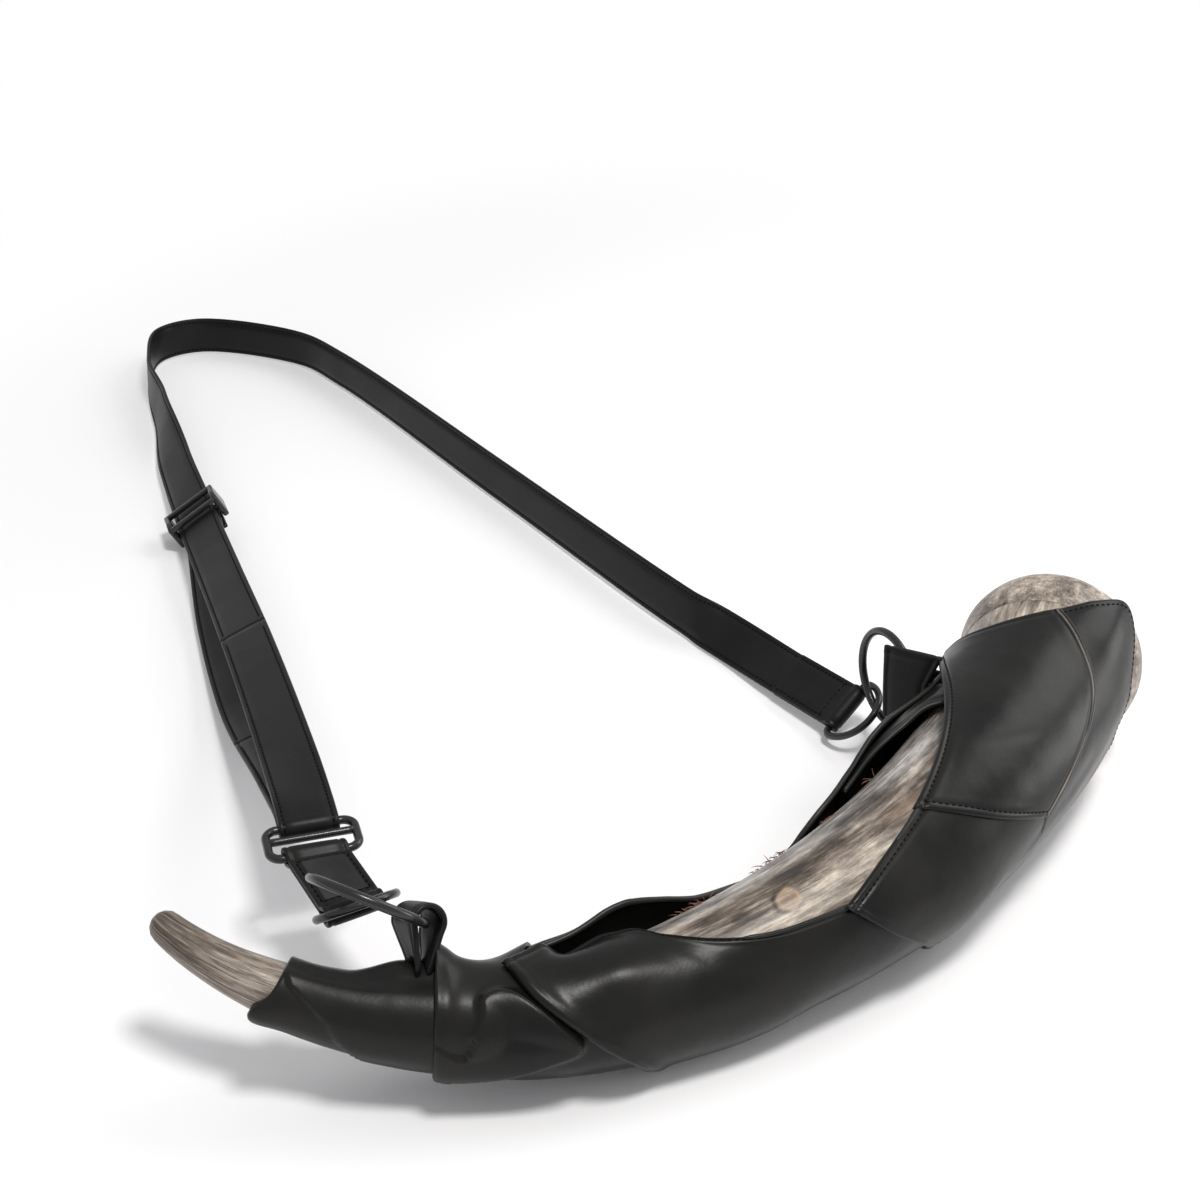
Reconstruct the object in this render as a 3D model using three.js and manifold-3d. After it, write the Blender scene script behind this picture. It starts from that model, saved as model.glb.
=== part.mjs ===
import * as THREE from "three";
import { mergeVertices } from "three/addons/utils/BufferGeometryUtils.js";
import Module from "manifold-3d";

const { Vector2, Vector3, Matrix4 } = THREE;

// Horn, in millimetres and degrees
const HORN_LENGTH = 378; // along the axis from the tip to the mouth rim
const TIP_RADIUS = 5.2;
const MOUTH_RADIUS = 31.6;
const TAPER = 1.25;
const TIP_HEADING = -34; // direction of the axis at the tip, seen from above
const TOTAL_TURN = 101.5; // from the tip to the mouth
const TURN_BIAS = 0.66; // below one the curve is tighter towards the tip
const TIP_LIFT = 39; // rise of the tip above the belly
const BASE_RISE = 3.5; // rise of the mouth end, taken up by slack leather
const BELLY = 0.42; // where the sleeve rests, as a share of the horn length
const HORN_WALL = 4.5;
const CAVITY_START = 0.4; // share of the length that stays solid

// Stopper
const DOME_HEIGHT = 37;
const DOME_LIP = 0.4; // how far the dome stands out past the horn at the rim
const DOME_SWELL = 2.2; // how far it swells past that
const SPIGOT_CLEARANCE = 4.6; // room for the seal between the spigot and the bore
const SPIGOT_LENGTH = 17;
const SEAL_DEPTH = 7; // from the mouth rim to the seal
const SEAL_WIDTH = 4;
const SEAL_CLEARANCE = 0.5;

// Sleeve leather
const LEATHER = 1.2;
const LAYER_GAP = 0.35;
const FLAT_CUT = 0.3; // depth of the flat that the belly rests on
const BACK_SLACK = 8.5; // how far the far edge of the window stands off the horn
const KNUCKLE_SLACK = 9.4; // how far the leather stands up at the near end of the window
const KNUCKLE_DIP = 7.4; // how far the front panel stays below it there
const FRONT_FLAT = 3; // how much flatter than round the lower front is towards the mouth
const CORNER_FLARE = 5.5; // how far the free corner of the collar stands off the dome
const CUFF_RISE = 4.5; // how far the cuff is drawn up under the left tab
const EDGE_PULL = 7; // how far the first edge of the wrap is drawn up beside the left tab
const EAR_RISE = 5; // fold of the wrap behind the corner of the front panel
const LAP_SHARE = 0.02; // overlap of the panels, as a share of the horn length
const CUFF_SHARE = 0.1; // share of the horn length that stays bare at the tip
const WRAP_SHARE = 0.231; // share of the horn length before the second piece

// Tabs
const TAB_WIDTH = 18;
const TAB_LEATHER = 1.9;
const LEFT_TAB = { station: 0.208, angle: -39, eye: 17.5, loop: 17.5, bend: 5.8, foot: 2.7, twist: 20 };
const RIGHT_TAB = { station: 0.92, angle: -92, eye: 12, loop: 16.5, bend: 6.3, foot: 5.5, twist: 0 };
const LEAF_RISE = 13; // how far the front leaf of the right tab stands up past its loop
const LEAF_REACH = 4.6; // and how far out past the middle of its bend
const LEAF_DIP = 2.4; // its upper corner, below the foot of the loop

// Rings and D-rings
const RING_RADIUS = 18.5; // centre line of the wire
const RING_WIRE = 3.2;
const D_WIDTH = 26;
const D_DEPTH = 17;
const D_WIRE = 2.8;
const D_CORNER = 3;
const RIGHT_RING_DROP = 3.3; // how far the right ring hangs below the middle of its tab
const BAR_CLEARANCE = 0.35;
const LEFT_D_SHIFT = 3.5; // how far the ring sits off the middle of the D
const RIGHT_D_SHIFT = 8;

// Long strap, oval connector and slider
const STRAP_WIDTH = 20;
const STRAP_LEATHER = 1.8;
const STRAP_REACH = 560; // from the belly to the far turn of the strap
const CONNECTOR_LENGTH = 30;
const CONNECTOR_SKEW = 13; // turn of the oval against the D-ring
const OVAL_WIDTH = 29.4;
const OVAL_DEPTH = 15;
const OVAL_CORNER = 4;
const OVAL_WIRE = 3;
const OVAL_BAR_SHIFT = 1.5; // middle bar, towards the long strap
const RIGHT_FOLD = 34; // doubled stretch at the right end of the strap
const JOIN_GAP = 0.3;
const SLIDER_LENGTH = 17;
const SLIDER_BAR = 2.6;
const SLIDER_CLEARANCE = 0.9;
const SLIDER_TAIL = 14; // sewn end of the return below the slider

const { sin, cos, PI, max, min, exp } = Math;
const radians = THREE.MathUtils.degToRad;
const share = (x) => min(1, max(0, x));
const smooth = (x) => share(x) ** 2 * (3 - 2 * share(x));
const Z = new Vector3(0, 0, 1);

// Heights of the three leather layers over the horn
const LAYER = [0, 1, 2].map((n) => LAYER_GAP + n * (LEATHER + LAYER_GAP));

// Horn axis: the origin lies on the floor under the belly
const bellyAt = BELLY * HORN_LENGTH;
const sleeveDepth = LAYER[2] + LEATHER - FLAT_CUT;
const radiusAt = (s) =>
  TIP_RADIUS + (MOUTH_RADIUS - TIP_RADIUS) * (1 - (1 - share(s / HORN_LENGTH)) ** TAPER);
const headingAt = (s) => radians(TIP_HEADING + TOTAL_TURN * share(s / HORN_LENGTH) ** TURN_BIAS);
const riseAt = (k) => BASE_RISE * max(0, (k - BELLY) / (1 - BELLY));
const heightAt = (s) =>
  radiusAt(s) + sleeveDepth + TIP_LIFT * max(0, 1 - s / bellyAt) ** 2 + riseAt(s / HORN_LENGTH);

function tangentAt(s) {
  const at = min(HORN_LENGTH - 0.5, max(0.5, s));
  const climb = heightAt(at + 0.5) - heightAt(at - 0.5);
  const flat = Math.sqrt(1 - climb * climb);
  return new Vector3(flat * cos(headingAt(s)), flat * sin(headingAt(s)), climb);
}

const track = [new Vector3()];
for (let s = 0; s < HORN_LENGTH; s++) {
  track.push(track[s].clone().add(tangentAt(s + 0.5)));
}

function planAt(s) {
  const i = min(track.length - 2, max(0, Math.floor(s)));
  return track[i].clone().lerp(track[i + 1], s - i).setZ(0);
}

function frameAt(s) {
  const t = tangentAt(s);
  const u = Z.clone().addScaledVector(t, -t.z).normalize();
  const n = t.clone().cross(u);
  const centre = planAt(s).sub(planAt(bellyAt)).setZ(heightAt(s));
  return { centre, t, u, n, radius: radiusAt(s) };
}

// A point over the horn: angle 0 is the top, 90 the outside of the bend
function around(frame, radius, angle, along = 0) {
  const a = radians(angle);
  return frame.centre
    .clone()
    .addScaledVector(frame.u, radius * cos(a))
    .addScaledVector(frame.n, radius * sin(a))
    .addScaledVector(frame.t, along);
}

const signed = (angle) => ((((angle + 180) % 360) + 360) % 360) - 180;
const hump = (x, middle, spread) => exp(-(((x - middle) / spread) ** 2));
const flatSide = (s, angle) =>
  FRONT_FLAT * smooth((s / HORN_LENGTH - 0.6) / 0.22) * hump(signed(angle), 106, 30);

function surface(s, angle, lift) {
  const frame = frameAt(s);
  return around(frame, frame.radius - flatSide(s, angle) + lift, angle);
}

// Closed solids from rows of points
function solid(points, faces) {
  let volume = 0;
  for (let i = 0; i < faces.length; i += 3) {
    const [a, b, c] = [points[faces[i]], points[faces[i + 1]], points[faces[i + 2]]];
    volume += a.dot(b.clone().cross(c));
  }
  const geometry = new THREE.BufferGeometry().setFromPoints(points);
  geometry.setIndex(volume < 0 ? faces.slice().reverse() : faces);
  return geometry;
}

function loft(sections, ends = "strip") {
  const n = sections[0].length;
  const count = sections.length;
  const points = sections.flat();
  const faces = [];
  for (let i = 0; i < (ends === "joined" ? count : count - 1); i++) {
    for (let j = 0; j < n; j++) {
      const a = i * n + j;
      const b = i * n + ((j + 1) % n);
      const c = ((i + 1) % count) * n + ((j + 1) % n);
      const d = ((i + 1) % count) * n + j;
      faces.push(a, b, c, a, c, d);
    }
  }
  const last = (count - 1) * n;
  if (ends === "strip") {
    for (let k = 0; k < n / 2 - 1; k++) {
      const [a, b, c, d] = [k, k + 1, n - 2 - k, n - 1 - k];
      faces.push(b, a, d, b, d, c);
      faces.push(last + a, last + b, last + c, last + a, last + c, last + d);
    }
  }
  if (ends === "fan") {
    const middle = (row) => row.reduce((sum, p) => sum.add(p), new Vector3()).divideScalar(n);
    points.push(middle(sections[0]), middle(sections[count - 1]));
    for (let j = 0; j < n; j++) {
      const next = (j + 1) % n;
      faces.push(next, j, points.length - 2);
      faces.push(last + j, last + next, points.length - 1);
    }
  }
  return solid(points, faces);
}

const steps = (n) => Array.from({ length: n + 1 }, (_, i) => i / n);

const horn = new THREE.Group();
horn.name = "horn_flask";

function add(name, geometry, color, roughness, metalness) {
  const material = new THREE.MeshStandardMaterial({ color, roughness, metalness });
  const mesh = new THREE.Mesh(geometry, material);
  mesh.name = name;
  horn.add(mesh);
  return mesh;
}
const leather = (name, geometry) => add(name, geometry, 0x1d1c1b, 0.55, 0);
const metal = (name, geometry) => add(name, geometry, 0x18181a, 0.4, 0.8);

// Joining and cutting
const wasm = await Module();
wasm.setup();
function asSolid(geometry) {
  const plain = geometry.clone();
  plain.deleteAttribute("normal");
  plain.deleteAttribute("uv");
  const merged = mergeVertices(plain, 1e-4);
  return new wasm.Manifold(
    new wasm.Mesh({
      numProp: 3,
      vertProperties: merged.attributes.position.array,
      triVerts: new Uint32Array(merged.index.array),
    }),
  );
}
function asGeometry(body) {
  const mesh = body.getMesh();
  const geometry = new THREE.BufferGeometry();
  geometry.setAttribute("position", new THREE.BufferAttribute(mesh.vertProperties, 3));
  geometry.setIndex(new THREE.BufferAttribute(mesh.triVerts, 1));
  return geometry;
}
const joined = (list) => asGeometry(list.map(asSolid).reduce((a, b) => a.add(b)));

// Horn shell: rounded tip, outside, rim, then the cavity back to its blind end
const HORN_SIDES = 28;
const ringOf = (frame, radius, along) =>
  steps(HORN_SIDES)
    .slice(0, HORN_SIDES)
    .map((j) => around(frame, radius, 360 * j, along));
const cavityAt = CAVITY_START * HORN_LENGTH;
const boreAt = (s) => radiusAt(s) - HORN_WALL;
const hornRings = [80, 55, 28].map((a) => {
  const [back, out] = [sin(radians(a)), cos(radians(a))];
  return ringOf(frameAt(0), TIP_RADIUS * out, -TIP_RADIUS * back);
});
for (const k of steps(30)) {
  const ring = steps(HORN_SIDES).slice(0, HORN_SIDES);
  hornRings.push(ring.map((j) => surface(k * HORN_LENGTH, 360 * j, 0)));
}
for (const k of steps(14)) {
  const s = HORN_LENGTH + k * (cavityAt - HORN_LENGTH);
  hornRings.push(ringOf(frameAt(s), boreAt(s), 0));
}
const blind = boreAt(cavityAt);
hornRings.push(ringOf(frameAt(cavityAt), blind * 0.7, -blind * 0.5));
hornRings.push(ringOf(frameAt(cavityAt), blind * 0.2, -blind * 0.7));
add("horn_shell", loft(hornRings, "fan"), 0x857563, 0.4, 0);

// Stopper and its seal, turned about the mouth axis
const mouth = frameAt(HORN_LENGTH);
const toMouth = new Matrix4().makeBasis(mouth.u, mouth.n, mouth.t).setPosition(mouth.centre);
const domeRadius = MOUTH_RADIUS + DOME_LIP;
const bulge = DOME_HEIGHT * 0.3;
const spigotRadius = boreAt(HORN_LENGTH) - SPIGOT_CLEARANCE;
const turned = (profile) =>
  new THREE.LatheGeometry(profile, HORN_SIDES).rotateX(PI / 2).applyMatrix4(toMouth);
const stopper = [new Vector2(0, -SPIGOT_LENGTH), new Vector2(spigotRadius, -SPIGOT_LENGTH)];
stopper.push(new Vector2(spigotRadius, JOIN_GAP));
for (const k of steps(4)) {
  stopper.push(new Vector2(domeRadius + DOME_SWELL * sin((PI / 2) * k), JOIN_GAP + bulge * k));
}
for (const k of steps(8).slice(1, 8)) {
  const a = (PI / 2) * k;
  stopper.push(new Vector2((domeRadius + DOME_SWELL) * cos(a), bulge + (DOME_HEIGHT - bulge) * sin(a)));
}
stopper.push(new Vector2(0, DOME_HEIGHT));
add("base_stopper", turned(stopper), 0xa89680, 0.4, 0);
const sealInner = spigotRadius + JOIN_GAP;
const sealOuter = boreAt(HORN_LENGTH - SEAL_DEPTH) - SEAL_CLEARANCE;
const seal = [
  new Vector2(sealInner, -SEAL_DEPTH - SEAL_WIDTH / 2),
  new Vector2(sealOuter - SEAL_WIDTH / 4, -SEAL_DEPTH - SEAL_WIDTH / 2),
  new Vector2(sealOuter, -SEAL_DEPTH),
  new Vector2(sealOuter - SEAL_WIDTH / 4, -SEAL_DEPTH + SEAL_WIDTH / 2),
  new Vector2(sealInner, -SEAL_DEPTH + SEAL_WIDTH / 2),
  new Vector2(sealInner, -SEAL_DEPTH - SEAL_WIDTH / 2),
];
add("stopper_seal", turned(seal), 0x6b5a45, 0.8, 0);

// Slack of the sleeve: stations are shares of the horn length
function slack(k, angle) {
  const spare = riseAt(k) + LAYER[2] - LAYER[1] - 1.3 * FLAT_CUT;
  const base = spare * smooth((k - 0.79) / 0.18) * max(0, -cos(radians(angle))) ** 2;
  const back = BACK_SLACK * hump(k, 0.767, 0.11) * hump(signed(angle), -60, 28);
  const knuckle = KNUCKLE_SLACK * hump(k, 0.405, 0.058) * hump(signed(angle), -50, 26);
  const flare = CORNER_FLARE * smooth((k - 0.91) / 0.11) * hump(signed(angle), 37, 22);
  return base + back + knuckle + flare;
}
const sleevePoint = (k, angle, lift) => surface(k * HORN_LENGTH, angle, lift + slack(k, angle));

// A leather panel between four edges; front and back run from start to end
function panel({ front, back, start, end, across, along, lift, shape = () => 0 }) {
  const curve = (list) => new THREE.SplineCurve(list.map(([k, angle]) => new Vector2(k, angle)));
  const [f, b, s, e] = [front, back, start, end].map(curve);
  const corner = (list, i) => new Vector2(...list.at(i));
  const at = (u, v) =>
    new Vector2()
      .addScaledVector(f.getPoint(u), 1 - v)
      .addScaledVector(b.getPoint(u), v)
      .addScaledVector(s.getPoint(v), 1 - u)
      .addScaledVector(e.getPoint(v), u)
      .addScaledVector(corner(front, 0), -(1 - u) * (1 - v))
      .addScaledVector(corner(front, -1), -u * (1 - v))
      .addScaledVector(corner(back, 0), -(1 - u) * v)
      .addScaledVector(corner(back, -1), -u * v);
  const sections = steps(along).map((u) => {
    const row = steps(across).map((v) => at(u, v));
    const level = (p) => lift(u) + shape(p.x, p.y);
    const outer = row.map((p) => sleevePoint(p.x, p.y, level(p) + LEATHER));
    const inner = row.map((p) => sleevePoint(p.x, p.y, level(p)));
    return [...outer, ...inner.reverse()];
  });
  return loft(sections);
}
const shingle = (u) => LAYER[1] + (LAYER[2] - LAYER[1]) * (1 - smooth((u - 0.23) / 0.4));

// A panel that closes on itself round the horn
function tube(startAt, endAt, lift, shape = () => 0) {
  const sections = steps(HORN_SIDES)
    .slice(0, HORN_SIDES)
    .map((j) => {
      const angle = 360 * j;
      const row = steps(10).map((v) => startAt(angle) + v * (endAt(angle) - startAt(angle)));
      const outer = row.map((k) => sleevePoint(k, angle, lift + shape(k, angle) + LEATHER));
      const inner = row.map((k) => sleevePoint(k, angle, lift + shape(k, angle)));
      return [...outer, ...inner.reverse()];
    });
  return loft(sections, "joined");
}

// Sleeve, from the tip to the mouth
const wrapEnd = (angle) => 0.3386 + 0.0556 * cos(radians(angle - 160));
const cuffMouth = (angle) => CUFF_SHARE + 0.004 * cos(radians(angle)) - 0.009 * hump(signed(angle), 97, 30);
function cuffShape(k, angle) {
  const along = smooth((k - 0.152) / 0.048) * exp(min(0, (WRAP_SHARE - k) / 0.024));
  return CUFF_RISE * along * hump(signed(angle), -35, 30);
}
leather("tip_cuff", tube(cuffMouth, () => WRAP_SHARE + LAP_SHARE, LAYER[0], cuffShape));
const ear = (k, angle) => EAR_RISE * hump(k, 0.322, 0.042) * hump(signed(angle), -60, 22);
function wrapShape(k, angle) {
  const pull = EDGE_PULL * hump(signed(angle), -35, 30) + 1.4 * hump(signed(angle), 25, 40);
  return pull * exp((WRAP_SHARE - k) / 0.024) + ear(k, angle);
}
leather("wrap_panel", tube(() => WRAP_SHARE, (a) => wrapEnd(a) + LAP_SHARE, LAYER[1], wrapShape));
function frontShape(k, angle) {
  const along = smooth((k - 0.318) / 0.026) * smooth((0.43 - k) / 0.04);
  return wrapShape(k, angle) - KNUCKLE_DIP * along * hump(signed(angle), -43, 24);
}
const underside = 184;
const frontStart = [-20, 30, 75, 120, underside].map((a) => [wrapEnd(a), a]);
leather(
  "front_panel",
  asGeometry(
    asSolid(
      panel({
        front: [
          frontStart[0],
          [0.323, -38],
          [0.37, -43],
          [0.397, -30],
          [0.421, -4],
          [0.455, 20],
          [0.503, 37],
          [0.562 + LAP_SHARE, 45],
        ],
        back: [frontStart.at(-1), [0.532, underside], [0.667 + LAP_SHARE, underside]],
        start: frontStart,
        end: [
          [0.562 + LAP_SHARE, 45],
          [0.59 + LAP_SHARE, 75],
          [0.643 + LAP_SHARE, 125],
          [0.667 + LAP_SHARE, underside],
        ],
        across: 14,
        along: 18,
        lift: shingle,
        shape: frontShape,
      }),
    ).subtract(
      asSolid(new THREE.BoxGeometry(2 * HORN_LENGTH, 2 * HORN_LENGTH, 20).translate(0, 0, -10)),
    ),
  ),
);
leather(
  "lower_panel",
  panel({
    front: [
      [0.562, 45],
      [0.619, 29],
      [0.69 + LAP_SHARE, 14],
    ],
    back: [
      [0.667, underside],
      [0.786, underside],
    ],
    start: [
      [0.562, 45],
      [0.59, 75],
      [0.643, 125],
      [0.667, underside],
    ],
    end: [
      [0.69 + LAP_SHARE, 14],
      [0.738 + LAP_SHARE, 52],
      [0.784, 80],
      [0.786, 125],
      [0.786, underside],
    ],
    across: 14,
    along: 10,
    lift: shingle,
  }),
);
leather(
  "shoulder_panel",
  panel({
    front: [
      [0.667, 15],
      [0.733, -3],
      [0.82, -30],
      [0.945, -74],
    ],
    back: [
      [0.783, 80],
      [0.833, 67],
      [0.876, 57],
      [0.913, 45],
      [0.942, 27],
      [0.977, 6],
    ],
    start: [
      [0.667, 15],
      [0.699, 38],
      [0.733, 58],
      [0.783, 80],
    ],
    end: [
      [0.945, -74],
      [0.94, -33],
      [0.977, 6],
    ],
    across: 10,
    along: 14,
    lift: () => LAYER[2],
  }),
);
leather(
  "end_collar",
  panel({
    front: [
      [0.787, 78],
      [0.82, 63],
      [0.86, 51],
      [0.894, 38],
      [0.923, 22],
      [0.972, -1],
    ],
    back: [
      [0.787, underside],
      [0.978, underside],
    ],
    start: [
      [0.787, 78],
      [0.787, 125],
      [0.787, underside],
    ],
    end: [
      [0.972, -1],
      [1.026, 38],
      [0.98, 72],
      [0.962, 125],
      [0.978, underside],
    ],
    across: 14,
    along: 10,
    lift: () => LAYER[1],
  }),
);
const seamAngle = 170; // lower edge of the back panel, under the front panels
const backStart = [317, 270, 220, seamAngle].map((a) => [wrapEnd(a) - LAP_SHARE, a]);
leather(
  "back_panel",
  panel({
    front: [
      backStart[0],
      [0.32, 316],
      [0.4, 316],
      [0.45, 312],
      [0.5, 298],
      [0.55, 284],
      [0.6, 283],
      [0.65, 300],
      [0.74, 302],
      [0.83, 296],
      [0.95, 287],
    ],
    back: [backStart.at(-1), [0.66, seamAngle], [0.975, seamAngle]],
    start: backStart,
    end: [
      [0.95, 287],
      [0.97, 230],
      [0.975, seamAngle],
    ],
    across: 10,
    along: 24,
    lift: () => LAYER[0],
    shape: ear,
  }),
);
leather(
  "window_lining",
  panel({
    front: [
      [0.7, 300],
      [0.77, 298],
      [0.85, 293],
    ],
    back: [
      [0.7, 284],
      [0.85, 280],
    ],
    start: [
      [0.7, 300],
      [0.7, 284],
    ],
    end: [
      [0.85, 293],
      [0.85, 280],
    ],
    across: 3,
    along: 8,
    lift: () => LAYER[0] - 2 * LAYER_GAP - LEATHER,
  }),
);

// Directions from a heading seen from above and a climb
const direction = (heading, climb) =>
  new Vector3(
    cos(radians(heading)) * cos(radians(climb)),
    sin(radians(heading)) * cos(radians(climb)),
    sin(radians(climb)),
  );
const square = (v, to) => v.clone().addScaledVector(to, -v.dot(to)).normalize();
const shifted = (p, ...moves) => moves.reduce((q, [v, d]) => q.addScaledVector(v, d), p.clone());
const placed = (geometry, x, y, z, at) =>
  geometry.applyMatrix4(new Matrix4().makeBasis(x, y, z).setPosition(at));

// Tabs: a folded loop whose channel runs round the horn, turned on its foot by the twist
function tabFrame({ station, angle, eye, twist }) {
  const frame = frameAt(station * HORN_LENGTH);
  const a = radians(angle);
  const out = frame.u.clone().multiplyScalar(cos(a)).addScaledVector(frame.n, sin(a));
  const side = frame.t.clone().applyAxisAngle(out, radians(twist));
  const seat = LAYER[0] + LEATHER + slack(station, angle) + cuffShape(station, angle) + JOIN_GAP;
  return { out, side, seat, foot: surface(station * HORN_LENGTH, angle, seat), eye };
}
function tabGeometry(tab, { loop, bend, foot }) {
  const top = loop - tab.seat;
  const outline = (shape, radius, half, base) => {
    const lean = Math.asin((radius - half) / (top - base));
    shape.moveTo(-half, base);
    shape.lineTo(half, base);
    shape.absarc(0, top, radius, -lean, PI + lean, false);
    shape.closePath();
    return shape;
  };
  const shape = outline(new THREE.Shape(), bend, foot, 0);
  shape.holes.push(outline(new THREE.Path(), bend - TAB_LEATHER, foot - TAB_LEATHER, TAB_LEATHER));
  const options = { depth: TAB_WIDTH, bevelEnabled: false, curveSegments: 10 };
  const band = new THREE.ExtrudeGeometry(shape, options);
  const across = tab.side.clone().cross(tab.out);
  return placed(band.translate(0, 0, -TAB_WIDTH / 2), tab.side, tab.out, across, tab.foot);
}
const leftTab = tabFrame(LEFT_TAB);
const rightTab = tabFrame(RIGHT_TAB);
leather("left_tab", tabGeometry(leftTab, LEFT_TAB));
function leafGeometry() {
  const reach = RIGHT_TAB.loop - rightTab.seat + LEAF_REACH;
  const top = TAB_WIDTH / 2 + LEAF_RISE;
  const corners = [
    [TAB_LEATHER, -TAB_WIDTH / 2],
    [reach, -TAB_WIDTH / 2],
    [reach, top],
    [-LEAF_DIP, top],
    [TAB_LEATHER, TAB_WIDTH / 2],
  ];
  const shape = new THREE.Shape(corners.map((p) => new Vector2(...p)));
  const plate = new THREE.ExtrudeGeometry(shape, { depth: TAB_LEATHER, bevelEnabled: false });
  return placed(
    plate.translate(0, 0, -RIGHT_TAB.bend),
    rightTab.out,
    rightTab.side.clone().cross(rightTab.out),
    rightTab.side,
    rightTab.foot,
  );
}
leather("right_tab", joined([tabGeometry(rightTab, RIGHT_TAB), leafGeometry()]));

// Round rings through the tabs
const wireAt = (tab) => shifted(tab.foot, [tab.out, tab.eye - tab.seat]);
const ringReach = (drop) =>
  (RING_RADIUS + Math.sqrt(max(0, RING_RADIUS ** 2 - (TAB_WIDTH / 2 + drop) ** 2))) / 2;
const ringGeometry = (m, u, centre) =>
  placed(new THREE.TorusGeometry(RING_RADIUS, RING_WIRE / 2, 8, 40), m, u, m.clone().cross(u), centre);
const leftM = direction(168.6, 18.8);
const leftU = square(direction(99, -38.4), leftM);
const leftReach = leftM.clone().applyAxisAngle(leftU.clone().cross(leftM), radians(LEFT_TAB.twist));
const leftCentre = shifted(wireAt(leftTab), [leftReach, ringReach(0)]);
metal("left_ring", ringGeometry(leftM, leftU, leftCentre));
const rightM = direction(114, 0);
const rightCentre = shifted(
  wireAt(rightTab),
  [rightM, ringReach(RIGHT_RING_DROP)],
  [Z, -RIGHT_RING_DROP],
);
metal("right_ring", ringGeometry(rightM, Z, rightCentre));

// D-rings: the bar lies at plus y, the bow at minus y
function wireLoop(path, wire) {
  const points = path.getSpacedPoints(44).slice(0, 44);
  const line = new THREE.CatmullRomCurve3(points.map((p) => new Vector3(p.x, p.y, 0)), true);
  return new THREE.TubeGeometry(line, 44, wire / 2, 8, true);
}
function dPath() {
  const [x, y] = [D_WIDTH / 2 - D_CORNER, D_DEPTH / 2 - D_CORNER];
  const path = new THREE.Path();
  path.moveTo(-x, D_DEPTH / 2);
  path.lineTo(x, D_DEPTH / 2);
  path.absarc(x, y, D_CORNER, PI / 2, 0, true);
  path.absellipse(0, y, D_WIDTH / 2, D_DEPTH - D_CORNER, 0, -PI, true);
  path.absarc(-x, y, D_CORNER, PI, PI / 2, true);
  return path;
}
const dRing = (across, pull, middle) =>
  placed(wireLoop(dPath(), D_WIRE), across, pull, across.clone().cross(pull), middle);
const leftAcross = direction(29.8, 0);
const leftPull = square(direction(99, -38.4), leftAcross);
const leftD = shifted(leftCentre, [leftU, RING_RADIUS], [leftAcross, -LEFT_D_SHIFT]);
metal("left_d_ring", dRing(leftAcross, leftPull, leftD));
const leftBar = shifted(leftD, [leftPull, D_DEPTH / 2]);
const rightAcross = direction(38, 34);
const rightPull = square(direction(128, -4), rightAcross);
const rightHang = rightPull.clone().applyAxisAngle(rightAcross, radians(-15));
const hang = radians(-55);
const rightD = shifted(
  rightCentre,
  [rightM, RING_RADIUS * cos(hang)],
  [Z, RING_RADIUS * sin(hang)],
  [rightAcross, -RIGHT_D_SHIFT],
);
metal("right_d_ring", dRing(rightAcross, rightHang, rightD));
const rightBar = shifted(rightD, [rightHang, D_DEPTH / 2]);

// Doubled straps folded round a bar at one end or both
function foldedStrap(length, radii, across, pull, at, skew = 0) {
  const shape = new THREE.Shape();
  const eye = (i) => radii[i] + BAR_CLEARANCE + STRAP_LEATHER;
  const neck = (i) => Math.asin(STRAP_LEATHER / eye(i));
  shape.absarc(0, 0, eye(0), neck(0), 2 * PI - neck(0), false);
  if (radii.length > 1) shape.absarc(length, 0, eye(1), neck(1) - PI, PI - neck(1), false);
  else [-1, 1].forEach((side) => shape.lineTo(length, side * STRAP_LEATHER));
  shape.closePath();
  radii.forEach((r, i) => {
    const hole = new THREE.Path().absarc(i * length, 0, r + BAR_CLEARANCE, 0, 2 * PI, true);
    shape.holes.push(hole);
  });
  const options = { depth: STRAP_WIDTH, bevelEnabled: false, curveSegments: 12 };
  const band = new THREE.ExtrudeGeometry(shape, options).translate(0, 0, -STRAP_WIDTH / 2);
  const points = band.getAttribute("position");
  for (let i = 0; i < points.count; i++) {
    const [x, z] = [points.getX(i), points.getZ(i)];
    points.setX(i, x - z * Math.tan(radians(skew)) * (x / length));
  }
  return placed(band, pull, across.clone().cross(pull), across, at);
}
const connectorPull = square(direction(119.8, 2), leftAcross);
const bars = [D_WIRE / 2, OVAL_WIRE / 2];
leather(
  "connector_strap",
  foldedStrap(CONNECTOR_LENGTH, bars, leftAcross, connectorPull, leftBar, CONNECTOR_SKEW),
);
leather("strap_right_end", foldedStrap(RIGHT_FOLD, [D_WIRE / 2], rightAcross, rightPull, rightBar));

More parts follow.
